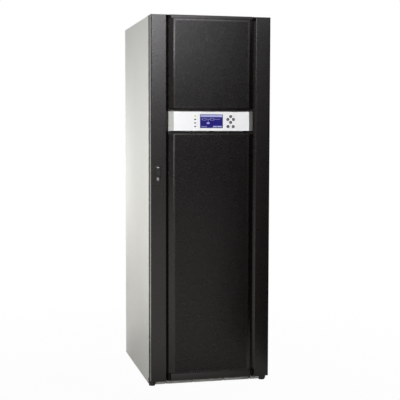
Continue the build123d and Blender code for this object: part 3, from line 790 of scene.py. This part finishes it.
def raised_panel(node, rows):
    """A raised door panel: folded frame with bevelled flanks, and its lip over the perforation."""
    low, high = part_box(node)
    middle = panel_middle(node)
    face = high.x - PANEL_BEVEL_WIDTH
    base = high.x
    open_x = HOLE_COLUMNS * HOLE_PITCH / 2 - LIP_LAP
    open_z = rows * HOLE_PITCH / 2 - LIP_LAP
    front = low.y
    lip_back = front + LIP_THICK
    bevel_back = front + PANEL_BEVEL_DEPTH
    inner_base = base - PANEL_FOLD
    inner_face = face - PANEL_WALL
    top = high.z + PANEL_RISE[node]
    z0 = low.z + PANEL_FOLD
    z1 = top - PANEL_FOLD
    flank = PANEL_BEVEL_WIDTH / PANEL_BEVEL_DEPTH
    rings = [(-open_x, open_x, middle - open_z, middle + open_z, front)]
    for i in range(ROUND_STEPS + 1):
        turn = math.pi / 2 * i / ROUND_STEPS
        sunk = LIP_ROUND * (1.0 - math.cos(turn))
        drawn_in = LIP_ROUND * (1.0 - math.sin(turn))
        side = face + flank * sunk - drawn_in / 2
        top_drawn_in = PANEL_TOP_ROUND[node] * (1.0 - math.sin(turn))
        rings.append((-side, side, low.z + drawn_in, top - top_drawn_in, front + sunk))
    rings += [
        (-base, base, low.z, top, bevel_back),
        (-base, base, low.z, top, high.y),
        (-inner_base, inner_base, z0, z1, high.y),
        (-inner_base, inner_base, z0, z1, bevel_back),
        (-inner_face, inner_face, z0, z1, lip_back),
        (-open_x, open_x, middle - open_z, middle + open_z, lip_back),
    ]
    mesh = loft_rings(rings, node, DOOR_PAINT)
    smooth_curves(mesh)
    piece = new_piece(node + "_frame", mesh, "door")
    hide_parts(node)


def perforated_field(name, centre_z, rows, closed_below, closed_above):
    """One perforated sheet behind a raised panel's lip."""
    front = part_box("lower_mesh_panel")[0].y
    back = front + LIP_THICK + MESH_THICK
    mesh = grow(
        name,
        PERFORATED_SHEET,
        Columns=HOLE_COLUMNS,
        Rows=rows,
        Pitch=HOLE_PITCH,
        Hole_Radius=HOLE_RADIUS,
        Thickness=MESH_THICK,
        Closed_Below=closed_below,
        Closed_Above=closed_above,
        Field_Centre=(0.0, back, centre_z),
        Finish=DOOR_PAINT,
    )
    new_piece(name, mesh, "door")


raised_panel("lower_mesh_panel", sum(LOWER_HOLE_ROWS))
raised_panel("upper_mesh_panel", UPPER_HOLE_ROWS)
lower_middle = panel_middle("lower_mesh_panel")
rows_below, rows_above = LOWER_HOLE_ROWS
low_centre = lower_middle - rows_above * HOLE_PITCH / 2
high_centre = lower_middle + rows_below * HOLE_PITCH / 2
perforated_field("lower_mesh_low", low_centre, rows_below, True, False)
perforated_field("lower_mesh_high", high_centre, rows_above, False, True)
perforated_field("upper_mesh", panel_middle("upper_mesh_panel"), UPPER_HOLE_ROWS, True, True)


def exhaust_grille():
    """The rear grille: a folded frame and a slotted sheet let into it."""
    low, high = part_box("rear_exhaust_grille")
    middle = (low + high) / 2
    open_x = SLOT_COLUMNS * SLOT_CELL_WIDTH / 2
    open_z0 = middle.z - SLOT_ROWS * SLOT_CELL_HEIGHT / 2
    open_z1 = middle.z + SLOT_ROWS * SLOT_CELL_HEIGHT / 2
    side = high.x - GRILLE_SHEET
    z0 = low.z + GRILLE_SHEET
    z1 = high.z - GRILLE_SHEET
    inside = high.y - GRILLE_SHEET
    rings = [
        (-open_x, open_x, open_z0, open_z1, high.y),
        (low.x, high.x, low.z, high.z, high.y),
        (low.x, high.x, low.z, high.z, low.y),
        (-side, side, z0, z1, low.y),
        (-side, side, z0, z1, inside),
        (-open_x, open_x, open_z0, open_z1, inside),
    ]
    mesh = round_edges(loft_rings(rings, "rear_exhaust_grille", PANEL_PAINT), FINE_ROUND)
    piece = new_piece("exhaust_grille_frame", mesh, "cabinet")
    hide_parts("rear_exhaust_grille")
    slots = grow(
        "exhaust_grille_slots",
        SLOTTED_GRILLE,
        Columns=SLOT_COLUMNS,
        Rows=SLOT_ROWS,
        Cell_Width=SLOT_CELL_WIDTH,
        Cell_Height=SLOT_CELL_HEIGHT,
        Slot_Length=SLOT_LENGTH,
        Slot_Height=SLOT_HEIGHT,
        Thickness=GRILLE_SHEET,
        Field_Centre=(middle.x, inside - GRILLE_INSET, middle.z),
        Finish=PANEL_PAINT,
    )
    new_piece("exhaust_grille_slots", slots, "cabinet")


exhaust_grille()


def screw_head(name, radius, height, finish):
    """A low domed screw head with a six-sided socket, standing on its local ground."""
    rings = []
    for reach, rise in SCREW_PROFILE:
        ring = []
        for i, (u, v) in enumerate(circle(SCREW_SIDES)):
            spread = radius * reach
            if reach < SOCKET_REACH and i % 2:
                spread *= math.cos(math.pi / 6)
            ring.append((spread * u, spread * v, rise * height))
        rings.append(ring)
    shape = bmesh.new()
    stack_rings(shape, rings)
    mesh = mesh_of(shape, name, finish)
    smooth_curves(mesh)
    return bpy.data.objects.new(name, mesh)


def set_screws(name, head, facing, spots, finish):
    """Set screw heads on the cabinet at the given spots."""
    mesh = grow(name, SCREW_ROWS, spots, Head=head, Facing=facing, Finish=finish)
    new_piece(name, mesh, "cabinet")


def even_steps(first, last, count):
    """Evenly spaced values, kept off both ends of an edge."""
    start = first + 2 * SCREW_EDGE
    end = last - 2 * SCREW_EDGE
    return [start + (end - start) * i / (count - 1) for i in range(count)]


def upright_spots(panel, count, on_rear):
    """Screw spots along both upright edges of a panel, on its rear or its front face."""
    low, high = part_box(panel)
    y = high.y if on_rear else low.y
    sides = (low.x + SCREW_EDGE, high.x - SCREW_EDGE)
    return [(x, y, z) for z in even_steps(low.z, high.z, count) for x in sides]


def cabinet_screws():
    """Flush fasteners on the sides, and pan-head screws on the rear, the top and the shields."""
    pan_head = screw_head("pan_head", SCREW_RADIUS, SCREW_HEIGHT, FASTENER_STEEL)
    flush_head = screw_head("flush_head", FASTENER_RADIUS, FASTENER_HEIGHT, PANEL_PAINT)
    low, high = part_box("left_side_panel")
    rows = (low.y + FASTENER_INSET, high.y - FASTENER_INSET)
    for name, side in (("left_side_fasteners", -1.0), ("right_side_fasteners", 1.0)):
        spots = [(side * -low.x, y, z) for y in rows for z in FASTENER_HEIGHTS]
        set_screws(name, flush_head, (side, 0.0, 0.0), spots, PANEL_PAINT)

    rear_spots = []
    for panel, count in REAR_SCREWS.items():
        rear_spots += upright_spots(panel, count, True)
    low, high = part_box("top_panel")
    sides = (low.x + SCREW_EDGE, high.x - SCREW_EDGE)
    top_spots = [(x, y, high.z) for y in even_steps(low.y, high.y, TOP_SCREWS) for x in sides]
    shield_spots = []
    for shield in SHIELDS:
        shield_spots += upright_spots(shield, SHIELD_SCREWS, False)
    for name, facing, spots in (
        ("rear_screws", (0.0, 1.0, 0.0), rear_spots),
        ("top_screws", (0.0, 0.0, 1.0), top_spots),
        ("shield_screws", (0.0, -1.0, 0.0), shield_spots),
    ):
        set_screws(name, pan_head, facing, spots, FASTENER_STEEL)
    for head in (pan_head, flush_head):
        bpy.data.objects.remove(head)


cabinet_screws()

# Door seal with its black lip of painted shade, end plugs of the bars, latch cap and lock
SEAL_DEPTH = 6 * MM
SEAL_WIDTH = 7.5 * MM
SEAL_INSET = 0.2 * MM
# Thin black lip over the side panel's front edge: painted shade of the door gap
PAINTED_SHADE_LIP_THICK = 0.6 * MM
PAINTED_SHADE_LIP_REACH = 11 * MM
PAINTED_SHADE_LIP_CLEARANCE = 0.05 * MM
PLUG_CLEARANCE = 0.3 * MM
PLUG_SET_BACK = 2 * MM
TURNED_SIDES = 40
CAP_SLOPE = 0.18
CAP_CURVE = 300 * MM
CAP_STEPS = [(1.0, None), (1.0, 0.4 * MM), (0.95, 0.1 * MM), (0.88, 0.0)]
CAP_STEPS += [(reach / 10, 0.0) for reach in range(8, 0, -1)]
ROSETTE_STEPS = [(1.0, None), (1.0, 0.7 * MM), (0.92, 0.4 * MM), (0.5, 0.4 * MM)]
BARREL_HALF = (5.2 * MM, 7.8 * MM)
BARREL_DEPTH = 1.2 * MM
KEY_SLOT_HALF = (0.7 * MM, 3.6 * MM)
KEY_SLOT_DEPTH = 0.2 * MM
KEY_SLOT_PROUD = 0.02 * MM
OVAL_CORNER = 0.95


def door_seal():
    """A soft black strip on the front flange and along the top, and a thin black lip over the latch
    side's outer edge that paints the shade of the door gap.
    """
    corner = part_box("left_side_panel")[0]
    back = corner.y
    front = back - SEAL_DEPTH
    outer = corner.x + SEAL_INSET
    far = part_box("hinge_arms")[0].x - SEAL_WIDTH
    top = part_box("top_panel")[1].z - SEAL_INSET
    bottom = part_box("left_stile")[0].z + SEAL_INSET
    shade_lip_inside = corner.x - PAINTED_SHADE_LIP_CLEARANCE
    shade_lip_outside = corner.x - PAINTED_SHADE_LIP_THICK
    shape = bmesh.new()
    add_block(shape, outer + SEAL_WIDTH, far, top - SEAL_WIDTH, top, back, front)
    # The outer part of this outline is the lip: painted shade along the door gap, laid over the side
    # panel's front edge
    plan = [
        (outer + SEAL_WIDTH, back),
        (outer + SEAL_WIDTH, front),
        (shade_lip_outside, front),
        (shade_lip_outside, back + PAINTED_SHADE_LIP_REACH),
        (shade_lip_inside, back + PAINTED_SHADE_LIP_REACH),
        (shade_lip_inside, back),
    ]
    stack_rings(shape, [[(x, y, z) for x, y in plan] for z in (bottom, top)])
    new_piece("door_seal", mesh_of(shape, "door_seal", SEAL_RUBBER), "cabinet")


def bar_end_plugs():
    """Black plugs that close the grooves beside both ends of the top and bottom bars."""
    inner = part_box("left_stile")[1].x + PLUG_CLEARANCE
    shape = bmesh.new()
    for bar in BAR_LIFT:
        low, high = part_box(bar)
        outer = low.x - PLUG_CLEARANCE
        z0 = low.z + BAR_LIFT[bar] + PLUG_CLEARANCE
        z1 = high.z - PLUG_CLEARANCE
        front = low.y + PLUG_SET_BACK
        add_block(shape, inner, outer, z0, z1, high.y, front)
        add_block(shape, -outer, -inner, z0, z1, high.y, front)
    mesh = mesh_of(shape, "bar_end_plugs", SEAL_RUBBER)
    new_piece("bar_end_plugs", mesh, "door")


door_seal()
bar_end_plugs()

# Control strip: overlay, bezel, display drawing, lamps and keys
strip_low, strip_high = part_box("control_fascia")
strip_face = strip_low.y
strip_z = (strip_low.z + strip_high.z) / 2
screen_low, screen_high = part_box("display_window")
screen_x = (screen_low.x + screen_high.x) / 2
strip_half = strip_high.x - PANEL_BEVEL_WIDTH - OVERLAY_SIDE_MARGIN

# Drawing on the display, in millimetres from its middle: left, low, right, high
SCREEN_BAND = (-56.0, 21.5, 56.0, 31.0)
BLOCK_MIDDLES = (-37.0, 3.0)
BLOCK_HALF = 10.0
BLOCK_LOW = 4.6
BLOCK_HIGH = 15.4
BLOCK_LINE = 1.2
PATH_RUNS = ((-53.0, -47.0), (-27.0, -7.0), (13.0, 46.0))
PATH_LOW = 9.4
PATH_HIGH = 10.6
STORE_STEM = (-17.6, -6.0, -16.4, 9.4)
STORE_BLOCK = (-24.0, -13.0, -10.0, -6.0)
TICK_STARTS = (-52.0, -47.0, -42.0, -37.0, -32.0, -27.0)
TICK_WIDTH = 3.0
TICK_LOW = -29.0
TICK_HIGH = -25.0
LOWER_BLOCKS = ((8.0, -29.5, 28.0, -23.5), (31.0, -29.5, 54.0, -23.5))


def screen_ring(wider, y):
    """The display's outline, made wider on all sides, at a depth."""
    x0 = screen_low.x - wider
    x1 = screen_high.x + wider
    return (x0, x1, screen_low.z - wider, screen_high.z + wider, y)


def strip_overlay():
    """The printed sheet over the strip's face, open over the display."""
    back = strip_face + OVERLAY_THICK
    front = strip_face - OVERLAY_THICK
    z0 = strip_low.z + OVERLAY_MARGIN
    z1 = strip_high.z - OVERLAY_MARGIN
    rings = [
        screen_ring(0.0, front),
        (-strip_half, strip_half, z0, z1, front),
        (-strip_half, strip_half, z0, z1, back),
        screen_ring(0.0, back),
    ]
    mesh = loft_rings(rings, "strip_overlay", STRIP_OVERLAY)
    new_piece("strip_overlay", mesh, "door")


def display_bezel():
    """A thin raised rim round the display."""
    front = strip_face - 2 * OVERLAY_THICK
    rings = [
        screen_ring(0.0, front),
        screen_ring(BEZEL_WIDTH, front),
        screen_ring(BEZEL_WIDTH, strip_face),
        screen_ring(0.0, screen_low.y),
    ]
    mesh = round_edges(loft_rings(rings, "display_bezel", BEZEL_PLASTIC), OVERLAY_THICK / 2)
    new_piece("display_bezel", mesh, "door")


def display_drawing():
    """Plain mimic of the power path: a band, two blocks in line, a store, ticks and two lower blocks."""
    marks = [SCREEN_BAND, STORE_STEM, STORE_BLOCK, *LOWER_BLOCKS]
    marks += [(x0, PATH_LOW, x1, PATH_HIGH) for x0, x1 in PATH_RUNS]
    marks += [(x, TICK_LOW, x + TICK_WIDTH, TICK_HIGH) for x in TICK_STARTS]
    inner_low = BLOCK_LOW + BLOCK_LINE
    inner_high = BLOCK_HIGH - BLOCK_LINE
    for middle in BLOCK_MIDDLES:
        x0 = middle - BLOCK_HALF
        x1 = middle + BLOCK_HALF
        marks += [(x0, inner_high, x1, BLOCK_HIGH), (x0, BLOCK_LOW, x1, inner_low)]
        marks += [(x0, inner_low, x0 + BLOCK_LINE, inner_high)]
        marks += [(x1 - BLOCK_LINE, inner_low, x1, inner_high)]
    back = screen_low.y - MARK_GAP
    shape = bmesh.new()
    for x0, z0, x1, z1 in marks:
        left = screen_x + x0 * MM
        right = screen_x + x1 * MM
        low = strip_z + z0 * MM
        add_block(shape, left, right, low, strip_z + z1 * MM, back, back - MARK_THICK)
    mesh = mesh_of(shape, "display_drawing", SCREEN_PALE)
    new_piece("display_drawing", mesh, "door")


def rounded_block(shape, x0, x1, z0, z1, corner, y_back, y_front):
    """Add a block with round corners."""
    outline = []
    centres = (
        (x1 - corner, z0 + corner, -math.pi / 2),
        (x1 - corner, z1 - corner, 0.0),
        (x0 + corner, z1 - corner, math.pi / 2),
        (x0 + corner, z0 + corner, math.pi),
    )
    for x, z, start in centres:
        for i in range(ROUND_STEPS + 1):
            turn = start + math.pi / 2 * i / ROUND_STEPS
            outline.append((x + corner * math.cos(turn), z + corner * math.sin(turn)))
    add_prism(shape, outline, y_back, y_front)


LAMP_PITCH = 17.6 * MM
LAMP_COUNT = 4
LAMP_CORNER = 1.6 * MM


def status_lamps():
    """Four small lenses; the top one is lit."""
    low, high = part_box("status_lamps")
    half_height = (high.z - low.z - LAMP_PITCH * (LAMP_COUNT - 1)) / 2
    for i in range(LAMP_COUNT):
        lit = i == LAMP_COUNT - 1
        centre = low.z + half_height + i * LAMP_PITCH
        z0 = centre - half_height
        z1 = centre + half_height
        shape = bmesh.new()
        rounded_block(shape, low.x, high.x, z0, z1, LAMP_CORNER, high.y, low.y)
        mesh = mesh_of(shape, "status_lamp", LAMP_LIT if lit else LAMP_DARK)
        mesh = round_edges(mesh, FINE_ROUND, segments=3)
        smooth_curves(mesh)
        piece = new_piece(f"status_lamp_{i + 1}", mesh, "door")
        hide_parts("status_lamps")


KEY_RADIUS = 7.8 * MM
KEY_SIDES = 32
KEY_STEPS = [(1.0, None), (1.0, 0.5 * MM), (0.9, 0.0), (0.72, 0.08 * MM), (0.3, 0.3 * MM)]
SIGN_BACK = 0.4 * MM
SIGN_SUNK = 0.02 * MM
ARROW = [(-2.9, -1.9), (2.9, -1.9), (0.0, 2.6)]
KEYS = [
    ((98.0, 24.2), ARROW),
    ((98.0, -5.2), [(-x, -z) for x, z in ARROW]),
    ((83.3, 9.5), [(-z, x) for x, z in ARROW]),
    ((112.7, 9.5), [(z, -x) for x, z in ARROW]),
    ((84.3, -26.3), [(-2.6, -0.8), (2.6, -0.8), (2.6, 0.8), (-2.6, 0.8)]),
    ((111.7, -26.3), [(-2.1, -2.1), (2.1, -2.1), (2.1, 2.1), (-2.1, 2.1)]),
]


def turned_cap(shape, x, z, radius, steps, sides, back, face, lean=None):
    """Add a round cap; its steps are (reach, depth behind the face), with None on its back."""
    rings = []
    for reach, sunk in steps:
        ring = []
        for u, v in circle(sides):
            aside = radius * reach * u
            above = radius * reach * v
            behind = lean(aside, above) if lean else 0.0
            y = back if sunk is None else min(face + sunk + behind, back)
            ring.append((x + aside, y, z + above))
        rings.append(ring)
    stack_rings(shape, rings)


def keypad():
    """Six keys with hollowed tops, and a plain sign on each: arrows, a bar and a square."""
    low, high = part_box("keypad_buttons")
    keys = bmesh.new()
    signs = bmesh.new()
    for (aside, rise), sign in KEYS:
        x = aside * MM
        z = strip_z + rise * MM
        turned_cap(keys, x, z, KEY_RADIUS, KEY_STEPS, KEY_SIDES, high.y, low.y)
        outline = [(x + u * MM, z + v * MM) for u, v in sign]
        add_prism(signs, outline, low.y + SIGN_BACK, low.y + SIGN_SUNK)
    key_mesh = mesh_of(keys, "keypad_keys", KEY_PLASTIC)
    smooth_curves(key_mesh)
    piece = new_piece("keypad_keys", key_mesh, "door")
    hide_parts("keypad_buttons")
    new_piece("keypad_signs", mesh_of(signs, "keypad_signs", KEY_MARK), "door")


def turned_piece(name, node, steps, finish, body, lean=None):
    """A round black cap in place of a solid."""
    low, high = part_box(node)
    middle = (low + high) / 2
    radius = (high.x - low.x) / 2
    shape = bmesh.new()
    turned_cap(shape, middle.x, middle.z, radius, steps, TURNED_SIDES, high.y, low.y, lean)
    mesh = mesh_of(shape, name, finish)
    smooth_curves(mesh)
    piece = new_piece(name, mesh, body)
    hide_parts(node)


def cap_lean(aside, above):
    """How far the latch cap's face lies back: its upper part slopes, and it is a little curved."""
    return CAP_SLOPE * max(0.0, above) + aside * aside / (2 * CAP_CURVE)


def lock_face():
    """The lock: a black rosette, an oval steel barrel and its key slot."""
    turned_piece("lock_rosette", "lock_cylinder", ROSETTE_STEPS, LATCH_PLASTIC, "door")
    low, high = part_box("lock_cylinder")
    x = (low.x + high.x) / 2
    z = (low.z + high.z) / 2
    for name, finish, slot, half, depth, proud in (
        ("lock_barrel", LOCK_STEEL, "lock_chrome", BARREL_HALF, BARREL_DEPTH, 0.0),
        ("lock_key_slot", SEAL_RUBBER, "latch_black", KEY_SLOT_HALF, KEY_SLOT_DEPTH, KEY_SLOT_PROUD),
    ):
        wide, tall = half
        corner = wide * OVAL_CORNER
        shape = bmesh.new()
        rounded_block(
            shape, x - wide, x + wide, z - tall, z + tall, corner, low.y + depth, low.y - proud
        )
        new_piece(name, mesh_of(shape, name, finish), "door")


strip_overlay()
display_bezel()
display_drawing()
status_lamps()
keypad()
turned_piece("latch_cap_face", "latch_cap", CAP_STEPS, CAP_GLOSS, "latch", cap_lean)
lock_face()

# Stage: floor, world, lamps and camera
WHITE = (1.0, 1.0, 1.0, 1.0)
WORLD_FILL = 0.11
FLOOR_REACH = 14.0
FLOOR_COLOUR = (0.7, 0.7, 0.7, 1.0)
# Warm tint of the floor where gloss mirrors it: a painted reflection colour
FLOOR_MIRRORED_TINT = (1.0, 0.97, 0.92, 1.0)
FLOOR_GLOW = 0.97
FLOOR_FADE = (0.8, 2.4)
# Painted shadow in the floor's reflection: its level in gloss, darkest near the cabinet and full further
# out
FLOOR_MIRRORED_SHADE = 0.45
FLOOR_MIRRORED_SHADE_FADE = (0.5, 1.3)
UNDER_CABINET = (0.29, 0.31)
CARD_COLOUR = (0.01, 0.01, 0.01, 1.0)
RIGHT_CARD_LINE = [(0.36, -1.4), (1.5, -1.4), (1.6, 0.8)]
RIGHT_CARD_HIGH = 2.04
RIGHT_CARD_APRON = [(0.43, -1.4), (1.5, -1.4), (1.6, -0.6), (0.43, -0.6)]
APRON_RISE = 3 * MM
HORIZON_LINE = [(-6.5, -2.5), (-4.0, -6.6), (3.6, -6.6)]
HORIZON_LOW = 0.5
HORIZON_HIGH = 2.1
LEFT_CARD_LINE = [(-6.5, -2.4), (-5.2, -4.6)]
LEFT_CARD_HIGH = 2.5

# Lamps: place, aim, size, power, spread in degrees, tint, whether for the gloss alone
NEUTRAL = (1.0, 1.0, 1.0)
COOL = (0.98, 0.96, 1.0)
LAMPS = {
    "left_softbox": ((-1.6, 1.6, 1.05), (-0.31, 0.6, 1.05), (0.4, 0.4), 3.5, 56.0),
    "low_softbox": ((-1.3, 1.25, 0.2), (-0.31, 0.4, 0.0), (0.3, 0.3), 0.24, 36.0),
    "key_softbox": ((-2.79, -3.71, 1.12), (0.0, -0.4, 1.12), (1.0, 1.0), 16.4, 46.0),
    "front_softbox": ((-0.85, -5.6, 2.85), (0.0, -0.4, 1.2), (3.7, 1.2), 192.0, 180.0, COOL, True),
    "rear_fill": ((3.3, 2.8, 3.4), (0.0, 0.2, 1.0), (2.5, 2.0), 190.0, 180.0),
}


def seen_rays(tree):
    """One for rays that show the background itself, in view, in gloss or through glass."""
    rays = tree.nodes.new("ShaderNodeLightPath").outputs
    seen = calculate(tree, "ADD", rays["Is Camera Ray"], rays["Is Glossy Ray"], clamp=True)
    return calculate(tree, "ADD", seen, rays["Is Transmission Ray"], clamp=True)


def studio_world():
    """White surroundings in view, and a low even fill on the object."""
    world = bpy.data.worlds.new("studio")
    bpy.context.scene.world = world
    world.use_nodes = True
    tree = world.node_tree
    background = tree.nodes["Background"]
    background.inputs["Color"].default_value = WHITE
    rest = calculate(tree, "MULTIPLY", seen_rays(tree), 1.0 - WORLD_FILL)
    tree.links.new(calculate(tree, "ADD", rest, WORLD_FILL), background.inputs["Strength"])


def bare_material(name):
    """A node material with no surface yet; give back it, its tree and its surface socket."""
    material, tree, shader = start_material(name)
    tree.nodes.remove(shader)
    return material, tree, tree.nodes["Material Output"].inputs["Surface"]


def studio_floor():
    """A pale floor that keeps the cabinet's shadow and runs out into white; as mirrored in gloss it is
    warmer, and darker near the cabinet, a painted shadow in its reflection.
    """
    material, tree, surface = bare_material("pale_floor")
    spot = object_spot(tree)
    distance = add(tree, "ShaderNodeVectorMath", settings={"operation": "LENGTH"}, Vector=spot)
    fade = ranged(tree, distance.outputs["Value"], *FLOOR_FADE, FLOOR_GLOW, 1.0)
    flat = add(tree, "ShaderNodeSeparateXYZ", Vector=spot).outputs
    aside = calculate(tree, "ABSOLUTE", flat["X"])
    ahead = calculate(tree, "ABSOLUTE", flat["Y"])
    beside = calculate(tree, "GREATER_THAN", aside, UNDER_CABINET[0])
    before = calculate(tree, "GREATER_THAN", ahead, UNDER_CABINET[1])
    outside = calculate(tree, "MAXIMUM", beside, before)
    open_glow = calculate(tree, "MULTIPLY", outside, fade)
    # Painted shadow and warm tint: the floor as mirrored in gloss is darker near the cabinet and warmer
    mirrored_shade = ranged(tree, ahead, *FLOOR_MIRRORED_SHADE_FADE, FLOOR_MIRRORED_SHADE, 1.0)
    glossy = tree.nodes.new("ShaderNodeLightPath").outputs["Is Glossy Ray"]
    level = add(tree, "ShaderNodeMix", Factor=glossy, A=1.0, B=mirrored_shade)
    tint = mix_colours(tree, glossy, WHITE, FLOOR_MIRRORED_TINT)
    mixed = tree.nodes.new("ShaderNodeMixShader")
    feed(tree, mixed.inputs[0], calculate(tree, "MULTIPLY", seen_rays(tree), open_glow))
    feed(tree, mixed.inputs[1], add(tree, "ShaderNodeBsdfDiffuse", Color=FLOOR_COLOUR))
    feed(tree, mixed.inputs[2], add(tree, "ShaderNodeEmission", Color=tint, Strength=level))
    feed(tree, surface, mixed)
    shape = bmesh.new()
    bmesh.ops.create_grid(shape, x_segments=4, y_segments=4, size=FLOOR_REACH)
    floor = show("floor", mesh_of(shape, "floor", material))


def softbox(name, place, aim, size, power, spread, tint=NEUTRAL, gloss_only=False):
    """A rectangular lamp that looks at a point; it lights either the gloss alone or all but it."""
    lamp = bpy.data.lights.new(name, "AREA")
    lamp.shape = "RECTANGLE"
    lamp.size, lamp.size_y = size
    lamp.energy = power
    lamp.spread = math.radians(spread)
    lamp.color = tint
    holder = show(name, lamp)
    holder.location = place
    holder.rotation_euler = (Vector(aim) - Vector(place)).to_track_quat("-Z", "Y").to_euler()
    holder.visible_camera = False
    holder.visible_glossy = gloss_only
    holder.visible_diffuse = not gloss_only


def studio_camera():
    """The photograph's camera."""
    forward = Vector(
        (
            math.sin(CAMERA_YAW) * math.cos(CAMERA_PITCH),
            math.cos(CAMERA_YAW) * math.cos(CAMERA_PITCH),
            -math.sin(CAMERA_PITCH),
        )
    )
    right = Vector((math.cos(CAMERA_YAW), -math.sin(CAMERA_YAW), 0.0))
    up = right.cross(forward)
    across = math.cos(CAMERA_ROLL) * right + math.sin(CAMERA_ROLL) * up
    upward = math.cos(CAMERA_ROLL) * up - math.sin(CAMERA_ROLL) * right
    turn = Matrix((across, upward, -forward)).transposed().to_4x4()
    lens = bpy.data.cameras.new("camera")
    lens.sensor_fit = "HORIZONTAL"
    lens.sensor_width = CAMERA_SENSOR
    lens.lens = CAMERA_LENS
    camera = show("camera", lens)
    camera.matrix_world = Matrix.Translation(CAMERA_PLACE) @ turn
    bpy.context.scene.camera = camera


def dark_card(name, line, low, high, apron=None):
    """A matt dark card, out of view, that keeps the gloss of the door deep where it mirrors it."""
    material, tree, surface = bare_material(name)
    feed(tree, surface, add(tree, "ShaderNodeBsdfDiffuse", Color=CARD_COLOUR))
    shape = bmesh.new()
    lower = [shape.verts.new((x, y, low)) for x, y in line]
    upper = [shape.verts.new((x, y, high)) for x, y in line]
    for i in range(len(line) - 1):
        shape.faces.new((lower[i], lower[i + 1], upper[i + 1], upper[i]))
    if apron:
        shape.faces.new([shape.verts.new((x, y, APRON_RISE)) for x, y in apron])
    card = show(name, mesh_of(shape, name, material))
    card.visible_camera = False
    card.visible_shadow = False


studio_world()
studio_floor()
dark_card("right_card", RIGHT_CARD_LINE, 0.0, RIGHT_CARD_HIGH, RIGHT_CARD_APRON)
dark_card("horizon_card", HORIZON_LINE, HORIZON_LOW, HORIZON_HIGH)
dark_card("left_card", LEFT_CARD_LINE, HORIZON_HIGH, LEFT_CARD_HIGH)
for lamp_name, lamp_setting in LAMPS.items():
    softbox(lamp_name, *lamp_setting)
studio_camera()
bpy.context.scene.view_settings.view_transform = "Standard"
